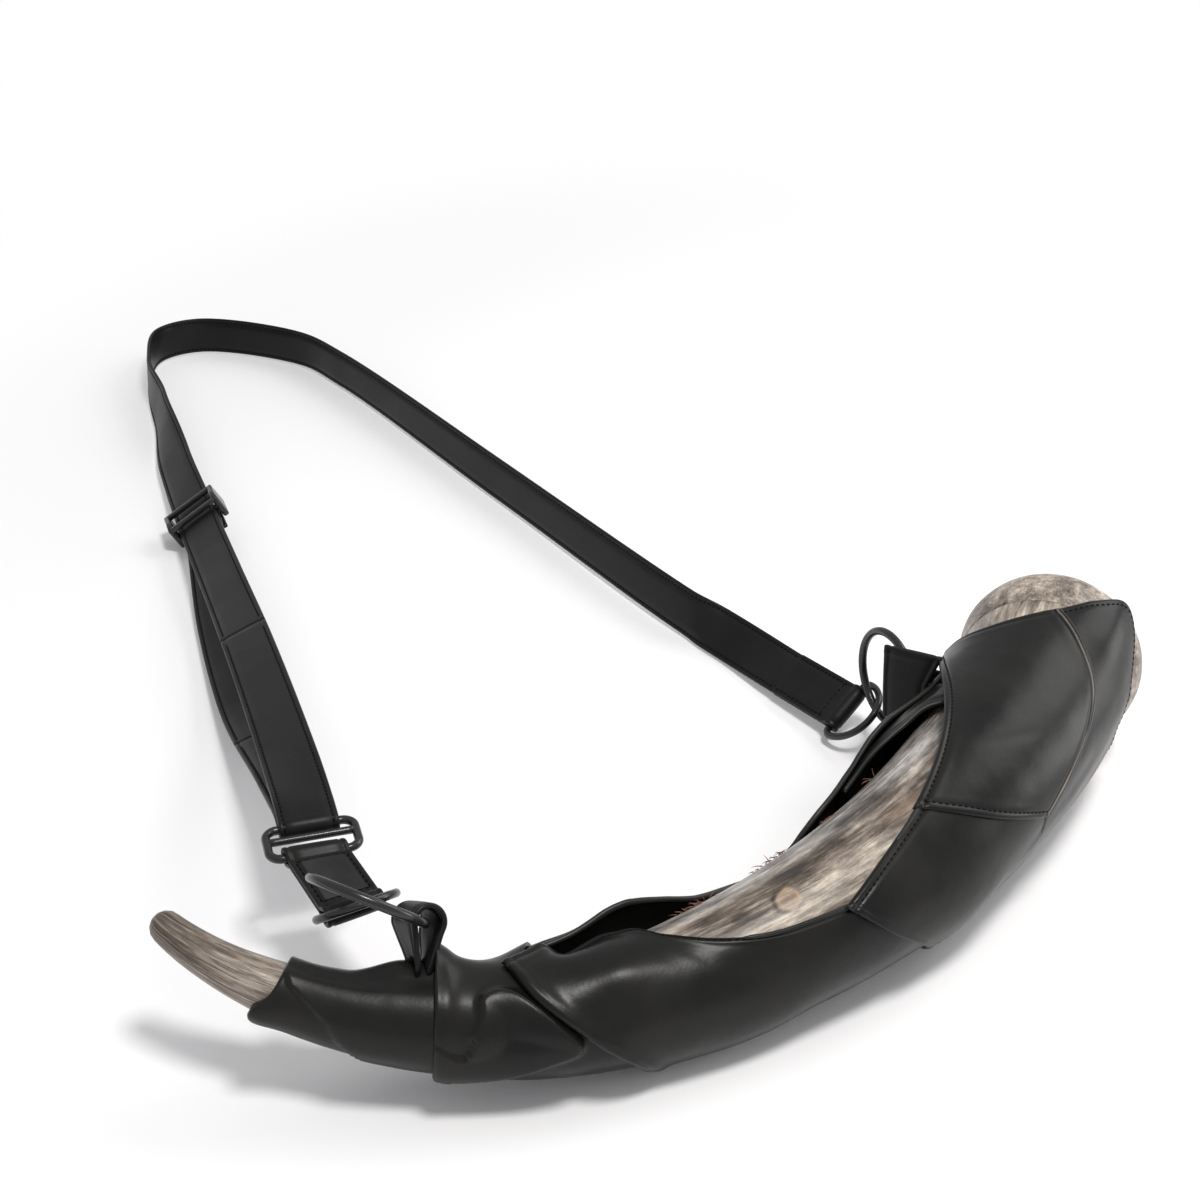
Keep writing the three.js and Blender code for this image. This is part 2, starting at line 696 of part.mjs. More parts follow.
// Oval connector: a rounded wire frame with a middle bar
const ovalTurn = new THREE.Quaternion().setFromAxisAngle(
  leftAcross.clone().cross(connectorPull),
  -radians(CONNECTOR_SKEW),
);
const ovalAcross = leftAcross.clone().applyQuaternion(ovalTurn);
const ovalPull = connectorPull.clone().applyQuaternion(ovalTurn);
const ovalLower = shifted(leftBar, [connectorPull, CONNECTOR_LENGTH]);
const ovalMiddle = shifted(ovalLower, [ovalPull, OVAL_DEPTH / 2]);
const ovalUpper = shifted(ovalLower, [ovalPull, OVAL_DEPTH]);
function ovalGeometry() {
  const [x, y] = [OVAL_WIDTH / 2, OVAL_DEPTH / 2];
  const path = new THREE.Path();
  path.moveTo(OVAL_CORNER - x, y);
  path.lineTo(x - OVAL_CORNER, y);
  path.absarc(x - OVAL_CORNER, y - OVAL_CORNER, OVAL_CORNER, PI / 2, 0, true);
  path.lineTo(x, OVAL_CORNER - y);
  path.absarc(x - OVAL_CORNER, OVAL_CORNER - y, OVAL_CORNER, 0, -PI / 2, true);
  path.lineTo(OVAL_CORNER - x, -y);
  path.absarc(OVAL_CORNER - x, OVAL_CORNER - y, OVAL_CORNER, -PI / 2, -PI, true);
  path.lineTo(-x, y - OVAL_CORNER);
  path.absarc(OVAL_CORNER - x, y - OVAL_CORNER, OVAL_CORNER, PI, PI / 2, true);
  const bar = new THREE.CylinderGeometry(OVAL_WIRE * 0.45, OVAL_WIRE * 0.45, OVAL_WIDTH, 8).rotateZ(PI / 2);
  bar.translate(0, OVAL_BAR_SHIFT, 0);
  return joined([wireLoop(path, OVAL_WIRE), bar]);
}
const ovalUp = ovalAcross.clone().cross(ovalPull);
metal("oval_connector", placed(ovalGeometry(), ovalAcross, ovalPull, ovalUp, ovalMiddle));

// Strap sections: a centre point and the direction of the strap's width
function ribbon(centres, widths) {
  const sections = centres.map((p, i) => {
    const ahead = centres[min(i + 1, centres.length - 1)].clone();
    const along = ahead.sub(centres[max(i - 1, 0)]).normalize();
    const w = square(widths[i], along).multiplyScalar(STRAP_WIDTH / 2);
    const t = along.clone().cross(w).normalize().multiplyScalar(STRAP_LEATHER / 2);
    const corner = (a, b) => shifted(p, [w, a], [t, b]);
    return [corner(-1, 1), corner(1, 1), corner(1, -1), corner(-1, -1)];
  });
  return loft(sections);
}

// A laid strap passes points given as x, y and clear height in shares of its reach, and a lean
const lay = ([x, y, clear, lean]) => {
  const rise = clear * STRAP_REACH + (STRAP_WIDTH / 2) * sin(radians(lean)) + STRAP_LEATHER / 2;
  return { at: new Vector3(x * STRAP_REACH, y * STRAP_REACH, rise), lean };
};
function route(knots) {
  const line = new THREE.CatmullRomCurve3(knots.map((knot) => knot.at));
  return (k) => {
    const x = k * (knots.length - 1);
    const i = min(knots.length - 2, Math.floor(x));
    const lean = radians(knots[i].lean + (knots[i + 1].lean - knots[i].lean) * smooth(x - i));
    const along = line.getTangent(k);
    const side = new Vector3(along.y, -along.x, 0).normalize();
    const width = side.multiplyScalar(cos(lean)).addScaledVector(Z, sin(lean));
    return { centre: line.getPoint(k), width, along };
  };
}
const stretch = (way, from, to, count) => steps(count).map((k) => way(from + k * (to - from)));
const ribbonOf = (rows) => ribbon(rows.map((r) => r.centre), rows.map((r) => r.width));
const leanOf = (across) => (180 / PI) * Math.asin(across.z);

// The turn of a strap round a bar, from the upper side to the lower side
function turnRound(bar, wire, across, pull) {
  const radius = wire / 2 + BAR_CLEARANCE + STRAP_LEATHER / 2;
  const up = across.clone().cross(pull);
  return steps(8).map((k) => ({
    centre: shifted(bar, [up, radius * cos(PI * k)], [pull, -radius * sin(PI * k)]),
    width: across,
  }));
}

// Upper layer: from the oval through the slider, round the far turn and back to the right ring
const turn = turnRound(ovalUpper, OVAL_WIRE, ovalAcross, ovalPull);
const leftLean = leanOf(ovalAcross);
const rightLean = 180 - leanOf(rightAcross);
const approach = shifted(rightBar, [rightPull, 2.2 * RIGHT_FOLD]);
const upperKnots = [
  { at: turn[0].centre, lean: leftLean },
  { at: shifted(turn[0].centre, [ovalPull, STRAP_WIDTH / 2]), lean: leftLean },
  ...[
    [-0.2339, 0.1911, 0.0679, 15],
    [-0.2768, 0.3232, 0.0518, 20],
    [-0.3232, 0.4607, 0.0304, 29],
    [-0.3696, 0.5946, 0.0152, 31],
    [-0.4089, 0.7071, 0.0071, 42],
    [-0.4446, 0.8214, 0.0018, 70],
    [-0.4714, 0.9036, 0.0005, 86],
    [-0.4750, 0.9750, 0.0005, 90],
    [-0.4393, 1.0000, 0.0005, 90],
    [-0.3375, 0.9679, 0.0005, 90],
    [-0.2875, 0.9143, 0.0005, 94],
    [-0.1214, 0.6714, 0.0005, 101],
    [0.0304, 0.4482, 0.0005, 106],
  ].map(lay),
  lay([...[approach.x, approach.y, JOIN_GAP].map((d) => d / STRAP_REACH), rightLean - 14]),
  { at: shifted(rightBar, [rightPull, RIGHT_FOLD + JOIN_GAP]), lean: rightLean },
];
const knot = 1 / (upperKnots.length - 1);
const upperWay = route(upperKnots);
const seamAt = 3.25 * knot; // piecing seam between the loop and the long run
const seamGap = 0.006 * knot;
leather("strap_run", ribbonOf(stretch(upperWay, seamAt + seamGap, 1, 64)));

// Slider: two end bars over the strap and a middle bar under it
const sliderKnot = upperWay(5 * knot);
const sliderAlong = sliderKnot.along;
const sliderAcross = square(sliderKnot.width, sliderAlong);
const sliderUp = sliderAcross.clone().cross(sliderAlong);
const railX = STRAP_WIDTH / 2 + SLIDER_CLEARANCE + SLIDER_BAR / 2;
const highBar = STRAP_LEATHER / 2 + SLIDER_CLEARANCE + SLIDER_BAR / 2;
const lowBar = -highBar - STRAP_LEATHER - BAR_CLEARANCE;
const barWidth = 2 * railX + SLIDER_BAR;
const endY = (SLIDER_LENGTH - SLIDER_BAR) / 2;
const railHeight = highBar - lowBar + SLIDER_BAR;
const box = (x, y, z, dx, dy, dz) => new THREE.BoxGeometry(dx, dy, dz).translate(x, y, z);
const slider = joined([
  box(-railX, 0, (highBar + lowBar) / 2, SLIDER_BAR, SLIDER_LENGTH, railHeight),
  box(railX, 0, (highBar + lowBar) / 2, SLIDER_BAR, SLIDER_LENGTH, railHeight),
  box(0, -endY, highBar, barWidth, SLIDER_BAR, SLIDER_BAR),
  box(0, endY, highBar, barWidth, SLIDER_BAR, SLIDER_BAR),
  box(0, 0, lowBar, barWidth, SLIDER_BAR * 0.7, SLIDER_BAR * 0.7),
]);
metal("strap_slider", placed(slider, sliderAcross, sliderAlong, sliderUp, sliderKnot.centre));

// Lower layer: from the oval back to the slider's middle bar, where it is folded and sewn
const sliderBar = shifted(sliderKnot.centre, [sliderUp, lowBar]);
const fold = turnRound(sliderBar, SLIDER_BAR, sliderAcross, sliderAlong.clone().negate()).reverse();
const foldLean = leanOf(sliderAcross);
const lowerKnots = [
  { at: turn[8].centre, lean: leftLean },
  { at: shifted(turn[8].centre, [ovalPull, STRAP_WIDTH / 2]), lean: leftLean },
  ...[
    [-0.2348, 0.1839, 0.05, 13],
    [-0.2821, 0.3089, 0.0161, 16],
    [-0.3250, 0.4429, 0.0063, 25],
  ].map(lay),
  { at: shifted(fold[0].centre, [sliderAlong, -SLIDER_LENGTH]), lean: foldLean },
  { at: fold[0].centre, lean: foldLean },
];
const lowerKnot = 1 / (lowerKnots.length - 1);
const lowerWay = route(lowerKnots);
const lowerSeam = 2.6 * lowerKnot;
const upperRows = stretch(upperWay, seamAt - seamGap, 0, 18);
const lowerRows = stretch(lowerWay, 0, lowerSeam - seamGap, 14);
leather("strap_loop", ribbonOf([...upperRows, ...turn.slice(1, 8), ...lowerRows]));
const tailEnd = { centre: shifted(fold[8].centre, [sliderAlong, -SLIDER_TAIL]), width: sliderAcross };
const returnRows = stretch(lowerWay, lowerSeam + seamGap, 1, 18);
leather("strap_return", ribbonOf([...returnRows, ...fold.slice(1), tailEnd]));

export default horn;
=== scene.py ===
import math

import bpy
import numpy as np
from mathutils import Matrix


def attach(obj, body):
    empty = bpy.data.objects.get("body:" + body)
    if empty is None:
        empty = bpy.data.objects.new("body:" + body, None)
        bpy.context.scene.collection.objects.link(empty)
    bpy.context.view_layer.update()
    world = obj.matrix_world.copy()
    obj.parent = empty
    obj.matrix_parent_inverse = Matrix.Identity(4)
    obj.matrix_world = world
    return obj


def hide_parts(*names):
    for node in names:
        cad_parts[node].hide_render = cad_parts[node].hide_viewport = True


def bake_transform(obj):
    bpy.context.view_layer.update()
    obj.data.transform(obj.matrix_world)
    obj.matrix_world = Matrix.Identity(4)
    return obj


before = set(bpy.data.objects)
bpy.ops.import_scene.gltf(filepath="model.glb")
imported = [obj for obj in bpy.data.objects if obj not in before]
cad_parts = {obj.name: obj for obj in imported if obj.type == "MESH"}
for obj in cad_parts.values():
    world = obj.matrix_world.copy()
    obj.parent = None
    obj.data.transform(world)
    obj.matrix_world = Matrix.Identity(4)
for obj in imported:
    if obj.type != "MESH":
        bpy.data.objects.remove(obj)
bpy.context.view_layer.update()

MM = 0.001
RNG = np.random.default_rng(7)

# Horn and sleeve sizes in millimetres and degrees, as in the part
LENGTH, TIP_R, MOUTH_R, TAPER = 378.0, 5.2, 31.6, 1.25
TIP_HEADING, TOTAL_TURN, TURN_BIAS = -34.0, 101.5, 0.66
TIP_LIFT, BASE_RISE, BELLY = 39.0, 3.5, 0.42
HORN_WALL, CAVITY_START = 4.5, 0.4
DOME_HEIGHT, DOME_LIP, DOME_SWELL, SPIGOT_R, SPIGOT_LENGTH = 37.0, 0.4, 2.2, 22.5, 17.0
LEATHER, LAYER_GAP, FLAT_CUT = 1.2, 0.35, 0.3
BACK_SLACK, KNUCKLE_SLACK, CORNER_FLARE, LAP = 8.5, 9.4, 5.5, 0.02
KNUCKLE_DIP, EDGE_PULL, EAR_RISE, CUFF_RISE, FRONT_FLAT = 7.4, 7.0, 5.0, 4.5, 3.0
CUFF_MOUTH, WRAP_START, UNDERSIDE, SEAM_ANGLE = 0.1, 0.231, 184.0, 170.0
TAB_WIDTH, TAB_LEATHER, LEAF_RISE, LEAF_REACH = 18.0, 1.9, 13.0, 4.6
LEAF_DIP, OVAL_BAR_SHIFT = 2.4, 1.5
LEFT_TWIST, LEFT_LOOP, LEFT_BEND, LEFT_FOOT, LEFT_TAPER = 20.0, 17.5, 5.8, 2.7, 0.6
RIGHT_LOOP, RIGHT_BEND, RIGHT_FOOT, LEAF_HEM = 16.5, 6.3, 5.5, 1.8
RING_R, RING_WIRE = 18.5, 3.2
D_WIDTH, D_DEPTH, D_WIRE, D_CORNER = 26.0, 17.0, 2.8, 3.0
BAR_CLEARANCE, JOIN_GAP = 0.35, 0.3
STRAP_WIDTH, STRAP_LEATHER = 20.0, 1.8
CONNECTOR_LENGTH, CONNECTOR_SKEW = 30.0, 13.0
OVAL_WIDTH, OVAL_DEPTH, OVAL_CORNER, OVAL_WIRE = 29.4, 15.0, 4.0, 3.0
RIGHT_FOLD, EYE_FLARE, STITCH_EDGE, RUN_TUCK = 34.0, 3.6, 1.9, 1.0
SLIDER_LENGTH, SLIDER_BAR, SLIDER_CLEARANCE, SLIDER_TAIL = 17.0, 2.6, 0.9, 14.0
LAYER = [LAYER_GAP + n * (LEATHER + LAYER_GAP) for n in range(3)]
SLEEVE_DEPTH = LAYER[2] + LEATHER - FLAT_CUT
Z = np.array([0.0, 0.0, 1.0])


def vec(*p):
    return np.array(p, float)


def unit(v):
    v = np.asarray(v, float)
    return v / np.linalg.norm(v, axis=-1, keepdims=True)


def share(x):
    return np.clip(x, 0.0, 1.0)


def smooth(x):
    x = share(x)
    return x * x * (3 - 2 * x)


def hump(x, middle, spread):
    return np.exp(-(((x - middle) / spread) ** 2))


# Smooth noise on a hashed lattice, the same on every run
def hashed(ix, iy, iz, seed):
    h = (ix * 73856093) ^ (iy * 19349663) ^ (iz * 83492791) ^ (seed * 2654435)
    h = ((h ^ (h >> 13)) * 1274126177) & 0x7FFFFFFF
    h = ((h ^ (h >> 15)) * 668265263) & 0x7FFFFFFF
    return (h & 0xFFFF) / 65535.0


def noise(x, y, z=0.0, seed=1):
    x, y, z = np.broadcast_arrays(np.asarray(x, float), y, z)
    cell = [np.floor(a).astype(np.int64) for a in (x, y, z)]
    part = [smooth(a - c) for a, c in zip((x, y, z), cell)]
    total = np.zeros(x.shape)
    for dx in (0, 1):
        for dy in (0, 1):
            for dz in (0, 1):
                w = 1.0
                for p, d in zip(part, (dx, dy, dz)):
                    w = w * (p if d else 1 - p)
                total += w * hashed(cell[0] + dx, cell[1] + dy, cell[2] + dz, seed)
    return total * 2 - 1


def turbulence(x, y, z=0.0, seed=1, octaves=3):
    return sum(noise(x * 2**i, y * 2**i, z * 2**i, seed + i) / 2**i for i in range(octaves))


# Horn axis and the surface round it
def radius_at(s):
    return TIP_R + (MOUTH_R - TIP_R) * (1 - (1 - share(s / LENGTH)) ** TAPER)


def girth(s, angle):
    return radius_at(s) * np.radians(angle)


def rise_at(k):
    return BASE_RISE * np.maximum(0, (k - BELLY) / (1 - BELLY))


def height_at(s):
    lift = TIP_LIFT * np.maximum(0, 1 - s / (BELLY * LENGTH)) ** 2
    return radius_at(s) + SLEEVE_DEPTH + lift + rise_at(s / LENGTH)


def tangent_at(s):
    at = np.clip(s, 0.5, LENGTH - 0.5)
    climb = height_at(at + 0.5) - height_at(at - 0.5)
    flat = np.sqrt(1 - climb * climb)
    heading = np.radians(TIP_HEADING + TOTAL_TURN * share(s / LENGTH) ** TURN_BIAS)
    return np.stack([flat * np.cos(heading), flat * np.sin(heading), climb], -1)


TRACK = np.concatenate([np.zeros((1, 3)), np.cumsum(tangent_at(np.arange(LENGTH) + 0.5), 0)])


def plan_at(s):
    i = np.clip(np.floor(s).astype(int), 0, len(TRACK) - 2)
    w = (s - i)[..., None]
    p = TRACK[i] * (1 - w) + TRACK[i + 1] * w
    return p * vec(1, 1, 0)


BELLY_PLAN = plan_at(np.array([BELLY * LENGTH]))[0]


def frames(s):
    s = np.asarray(s, float)
    t = tangent_at(s)
    u = unit(Z - t * t[..., 2:3])
    n = np.cross(t, u)
    c = plan_at(s) - BELLY_PLAN
    c[..., 2] = height_at(s)
    return c, t, u, n


def around(s, angle, radius, along=0.0):
    s, angle, radius = np.broadcast_arrays(np.asarray(s, float), angle, radius)
    c, t, u, n = frames(s)
    a = np.radians(angle)[..., None]
    return c + radius[..., None] * (np.cos(a) * u + np.sin(a) * n) + along * t


def signed(angle):
    return np.mod(angle + 180, 360) - 180


def flat_side(s, angle):
    return FRONT_FLAT * smooth((s / LENGTH - 0.6) / 0.22) * hump(signed(angle), 106, 30)


def slack(k, angle):
    spare = rise_at(k) + LAYER[2] - LAYER[1] - 1.3 * FLAT_CUT
    base = spare * smooth((k - 0.79) / 0.18) * np.maximum(0, -np.cos(np.radians(angle))) ** 2
    back = BACK_SLACK * hump(k, 0.767, 0.11) * hump(signed(angle), -60, 28)
    knuckle = KNUCKLE_SLACK * hump(k, 0.405, 0.058) * hump(signed(angle), -50, 26)
    flare = CORNER_FLARE * smooth((k - 0.91) / 0.11) * hump(signed(angle), 37, 22)
    return base + back + knuckle + flare


def sleeve(k, angle, lift):
    s = k * LENGTH
    return around(s, angle, radius_at(s) - flat_side(s, angle) + lift + slack(k, angle))


# A piece gathers vertices and faces, with one material slot per finish
class Piece:
    def __init__(self):
        self.points, self.faces, self.slots, self.grain, self.count = [], [], [], [], 0

    def add(self, points, faces, slot=0, grain=None):
        points = np.asarray(points, float).reshape(-1, 3)
        faces = [tuple(int(i) + self.count for i in face) for face in faces]
        self.points.append(points)
        self.faces += faces
        self.slots += [slot] * len(faces)
        self.grain.append(points if grain is None else np.asarray(grain, float).reshape(-1, 3))
        self.count += len(points)
        return self

    def make(self, name, materials, body=None, node=None, finish=None):
        mesh = bpy.data.meshes.new(name)
        points = np.concatenate(self.points) * MM
        mesh.from_pydata(points.tolist(), [], self.faces)
        mesh.polygons.foreach_set("material_index", self.slots)
        mesh.polygons.foreach_set("use_smooth", [True] * len(self.faces))
        grain = mesh.attributes.new("grain", "FLOAT_VECTOR", "POINT")
        grain.data.foreach_set("vector", np.concatenate(self.grain).astype(np.float32).ravel())
        for material in materials:
            mesh.materials.append(material)
        mesh.update()
        obj = bpy.data.objects.new(name, mesh)
        bpy.context.scene.collection.objects.link(obj)
        if body:
            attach(obj, body)
        if node:
            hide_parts(node)
        return obj


def grid_faces(rows, columns, round_rows=False, round_columns=False, flip=False):
    faces = []
    for i in range(rows if round_rows else rows - 1):
        for j in range(columns if round_columns else columns - 1):
            i2, j2 = (i + 1) % rows, (j + 1) % columns
            quad = (i * columns + j, i2 * columns + j, i2 * columns + j2, i * columns + j2)
            faces.append(quad[::-1] if flip else quad)
    return faces


def shell_faces(rows, columns, round_columns=False):
    """Faces of a sheet: an outer grid, then an inner grid, and the walls between them."""
    n = rows * columns
    faces = grid_faces(rows, columns, False, round_columns)
    faces += [tuple(i + n for i in q) for q in grid_faces(rows, columns, False, round_columns, True)]
    for j in range(columns if round_columns else columns - 1):
        j2 = (j + 1) % columns
        last = (rows - 1) * columns
        faces.append((j, j2, n + j2, n + j))
        faces.append((last + j2, last + j, n + last + j, n + last + j2))
    if not round_columns:
        for i in range(rows - 1):
            a, b = i * columns, (i + 1) * columns
            faces.append((b, a, n + a, n + b))
            faces.append((a + columns - 1, b + columns - 1, n + b + columns - 1, n + a + columns - 1))
    return faces


def face_out(points, faces):
    """The faces turned so that the closed body has a positive volume."""
    corners = np.array([(f[0], f[k], f[k + 1]) for f in faces for k in range(1, len(f) - 1)])
    a, b, c = (points[corners[:, i]] for i in range(3))
    volume = np.einsum("ij,ij->", a, np.cross(b, c))
    return [f[::-1] for f in faces] if volume < 0 else faces


def loft(piece, sections, closed=False, slot=0, grain=None):
    """A tube through closed sections of the same count, capped at its ends."""
    sections = np.asarray(sections, float)
    rows, columns = sections.shape[:2]
    points = sections.reshape(-1, 3)
    faces = grid_faces(rows, columns, closed, True)
    if not closed:
        faces.append(tuple(range(columns)))
        faces.append(tuple(range((rows - 1) * columns, rows * columns))[::-1])
    return piece.add(points, face_out(points, faces), slot, grain)


def run_of(points):
    """The distance along a path at each of its points."""
    return np.concatenate([[0], np.cumsum(np.linalg.norm(np.diff(points, axis=0), axis=1))])


# Stitches: short raised threads along a path
STITCH_RINGS = ((-0.5, 0.5, -0.9), (-0.34, 1.0, 0.16), (0.0, 1.12, 0.45), (0.34, 1.0, 0.16), (0.5, 0.5, -0.9))


def stitches(piece, path, normals, slot=1, pitch=2.2, length=1.6, thread=0.24):
    path, normals = np.asarray(path, float), unit(normals)
    at = run_of(path)
    count = int(at[-1] // pitch)
    d = (np.arange(count) + 0.5) * at[-1] / count

    def sample(values, where):
        return np.stack([np.interp(where, at, values[:, k]) for k in range(3)], 1)

    along = unit(sample(path, d + 0.6) - sample(path, d - 0.6))
    up = unit(sample(normals, d))
    side = unit(np.cross(up, along))
    turns = np.arange(6) * math.pi / 3
    x, r, h = np.array(STITCH_RINGS).T[:, None, :, None, None]
    middle, along, up, side = (a[:, None, None, :] for a in (sample(path, d), along, up, side))
    round_off = np.cos(turns)[:, None] * side + np.sin(turns)[:, None] * up
    points = middle + along * x * length + thread * (up * h + r * round_off)
    one = grid_faces(5, 6, False, True) + [tuple(range(6)), tuple(range(24, 30))[::-1]]
    one = face_out(points[0].reshape(-1, 3), one)
    piece.add(points, [tuple(i + 30 * k for i in f) for k in range(count) for f in one], slot)


def tube(piece, path, radius, sides=10, slot=0, closed=False, up=Z):
    path = np.asarray(path, float)
    radius = np.broadcast_to(radius, (len(path),))
    if closed:
        along = unit(np.roll(path, -1, 0) - np.roll(path, 1, 0))
    else:
        along = unit(np.gradient(path, axis=0))
    side = unit(np.cross(along, up))
    over = np.cross(side, along)
    turns = np.linspace(0, 2 * math.pi, sides, endpoint=False)
    rings = [
        p + r * (np.cos(turns)[:, None] * s + np.sin(turns)[:, None] * o)
        for p, r, s, o in zip(path, radius, side, over)
    ]
    return loft(piece, rings, closed, slot)


# Materials: a graph of nodes whose inputs are sockets to link or plain values
class Graph:
    def __init__(self, name):
        self.made = bpy.data.materials.new(name)
        self.made.use_nodes = True
        tree = self.made.node_tree
        self.nodes, self.links = tree.nodes, tree.links
        self.nodes.clear()
        self.out = self.nodes.new("ShaderNodeOutputMaterial")
        self.shader = self.nodes.new("ShaderNodeBsdfPrincipled")
        self.links.new(self.shader.outputs[0], self.out.inputs[0])

    def feed(self, node, inputs):
        for name, value in inputs.items():
            if isinstance(value, bpy.types.NodeSocket):
                self.links.new(value, node.inputs[name])
            else:
                node.inputs[name].default_value = value

    def add(self, kind, inputs, **settings):
        """The outputs of a new node with these inputs and settings."""
        node = self.nodes.new("ShaderNode" + kind)
        for name, value in settings.items():
            setattr(node, name, value)
        self.feed(node, inputs)
        return node.outputs

    def math(self, operation, *values):
        return self.add("Math", dict(enumerate(values)), operation=operation)[0]

    def attribute(self, name, output="Fac"):
        return self.add("Attribute", {}, attribute_name=name)[output]

    def noise(self, scale, detail=4.0, rough=0.55, distortion=0.0):
        """Noise over the piece's own grain coordinates, stretched by a scale along each of them."""
        place = self.add("Mapping", {"Vector": self.attribute("grain", "Vector"), "Scale": scale})[0]
        inputs = {"Vector": place, "Scale": 1.0, "Detail": detail, "Roughness": rough, "Distortion": distortion}
        return self.add("TexNoise", inputs)[0]

    def ramp(self, source, stops):
        node = self.nodes.new("ShaderNodeValToRGB")
        elements = node.color_ramp.elements
        while len(elements) < len(stops):
            elements.new(0.5)
        for element, (at, colour) in zip(elements, stops):
            element.position = at
            element.color = (*colour, 1.0)
        self.links.new(source, node.inputs[0])
        return node.outputs[0]

    def spread(self, source, low, high):
        inputs = {"Value": source, "From Min": 0.3, "From Max": 0.7, "To Min": low, "To Max": high}
        return self.add("MapRange", inputs)["Result"]

    def bump(self, source, strength, distance, below=None):
        inputs = {"Height": source, "Strength": strength, "Distance": distance}
        if below is not None:
            inputs["Normal"] = below
        return self.add("Bump", inputs)["Normal"]


def leather_material(name, dark, light, rough, pores, shine=0.15):
    graph = Graph(name)
    cloud = graph.noise((0.035, 0.035, 0.035), 3.0)
    crease = graph.noise((0.16, 0.3, 0.3), 5.0, 0.6)
    cells = graph.add("TexVoronoi", {"Vector": graph.attribute("grain", "Vector"), "Scale": pores})[0]
    inputs = {
        "Base Color": graph.ramp(cloud, [(0.32, dark), (0.7, light)]),
        "Roughness": graph.spread(cloud, *rough),
        "Specular IOR Level": shine,
        "Normal": graph.bump(cells, 0.06, 0.0002, graph.bump(crease, 0.07, 0.0009)),
    }
    graph.feed(graph.shader, inputs)
    return graph.made


def plain_material(name, colour, rough, metallic=0.0, mottle=0.25, scale=0.4, fine=0.1):
    graph = Graph(name)
    cloud = graph.noise((scale, scale, scale))
    low, high = (tuple(c * (1 + sign * mottle) for c in colour) for sign in (-1, 1))
    inputs = {
        "Base Color": graph.ramp(cloud, [(0.3, low), (0.7, high)]),
        "Roughness": graph.spread(cloud, rough * 0.85, rough * 1.15),
        "Metallic": metallic,
        "Normal": graph.bump(cloud, fine, 0.0004),
    }
    graph.feed(graph.shader, inputs)
    return graph.made


# Stops from dark to pale, and what each noise adds to the painted tone
HORN_STOPS = [
    (0.08, (0.035, 0.028, 0.022)),
    (0.3, (0.12, 0.09, 0.068)),
    (0.46, (0.24, 0.2, 0.165)),
    (0.6, (0.38, 0.32, 0.26)),
    (0.78, (0.62, 0.54, 0.44)),
    (0.95, (0.74, 0.68, 0.58)),
]
STREAK_SHARE, PATCH_SHARE, FINE_SHARE, TONE_SHIFT = 1.0, 1.1, 0.7, 1.4
KNOT_COLOUR = (0.45, 0.31, 0.19, 1.0)


def horn_material():
    graph = Graph("natural_horn")
    streak = graph.noise((0.026, 0.5, 0.5), 8.0, 0.68, 0.3)
    fine = graph.noise((0.12, 2.2, 2.2), 5.0, 0.66)
    patch = graph.noise((0.09, 0.26, 0.26), 7.0, 0.7)
    level = graph.attribute("tone")
    for source, amount in ((streak, STREAK_SHARE), (patch, PATCH_SHARE), (fine, FINE_SHARE)):
        level = graph.math("MULTIPLY_ADD", source, amount, level)
    colour = graph.ramp(graph.math("SUBTRACT", level, TONE_SHIFT), HORN_STOPS)
    mixed = {"Factor": graph.attribute("knot"), "A": colour, "B": KNOT_COLOUR}
    colour = graph.add("Mix", mixed, data_type="RGBA")["Result"]
    cooled = {"Fac": graph.attribute("cool"), "Color": colour, "Saturation": 0.3}
    inputs = {
        "Base Color": graph.add("HueSaturation", cooled)[0],
        "Roughness": graph.spread(streak, 0.3, 0.46),
        "Normal": graph.bump(fine, 0.12, 0.0004, graph.bump(streak, 0.16, 0.0008)),
    }
    graph.feed(graph.shader, inputs)
    return graph.made


SLEEVE = leather_material("sleeve_leather", (0.006, 0.006, 0.0058), (0.0125, 0.012, 0.0105), (0.28, 0.38), 0.9, 0.22)
STRAP = leather_material("strap_leather", (0.0055, 0.0055, 0.0056), (0.01, 0.0098, 0.0094), (0.36, 0.48), 1.1, 0.2)
THREAD = leather_material("black_thread", (0.003, 0.003, 0.003), (0.006, 0.006, 0.006), (0.5, 0.6), 2.0, 0.1)
PIPING = leather_material("rolled_edge", (0.008, 0.008, 0.0075), (0.03, 0.028, 0.025), (0.3, 0.4), 1.4, 0.3)
# Pale edge colour: the worn raw edge of the leather, made paler as a painted highlight along the rolled edge and its
# stitches
WORN_EDGE_AND_HIGHLIGHT = leather_material("worn_edge_and_painted_highlight", (0.02, 0.018, 0.015), (0.3, 0.27, 0.22), (0.4, 0.5), 1.4, 0.3)
METAL = plain_material("black_metal", (0.014, 0.0145, 0.015), 0.24, 0.0, 0.1, 0.25, 0.01)
ROUGH_FACE = leather_material("rough_face", (0.012, 0.0115, 0.012), (0.038, 0.0355, 0.036), (0.5, 0.62), 2.2, 0.2)
SEAL = plain_material("seal_cord", (0.2, 0.15, 0.1), 0.7)
FIBRE = plain_material("horn_fibre", (0.2, 0.085, 0.045), 0.6, 0.0, 0.5, 0.6)
HORN = horn_material()


# Sleeve panels between four edges, each a list of (share of the length, angle)
def curve(points, t):
    p = np.asarray(points, float)
    last = len(p) - 1
    x = np.asarray(t) * last
    i = np.minimum(np.floor(x).astype(int), last - 1)
    w = (x - i)[:, None]
    p0, p1 = p[np.maximum(i - 1, 0)], p[i]
    p2, p3 = p[np.minimum(i + 1, last)], p[np.minimum(i + 2, last)]
    v0, v1 = (p2 - p0) / 2, (p3 - p1) / 2
    return (2 * p1 - 2 * p2 + v0 + v1) * w**3 + (-3 * p1 + 3 * p2 - 2 * v0 - v1) * w**2 + v0 * w + p1


def eased(n):
    t = np.linspace(0, 1, n)
    return 0.6 * (0.5 - 0.5 * np.cos(math.pi * t)) + 0.4 * t


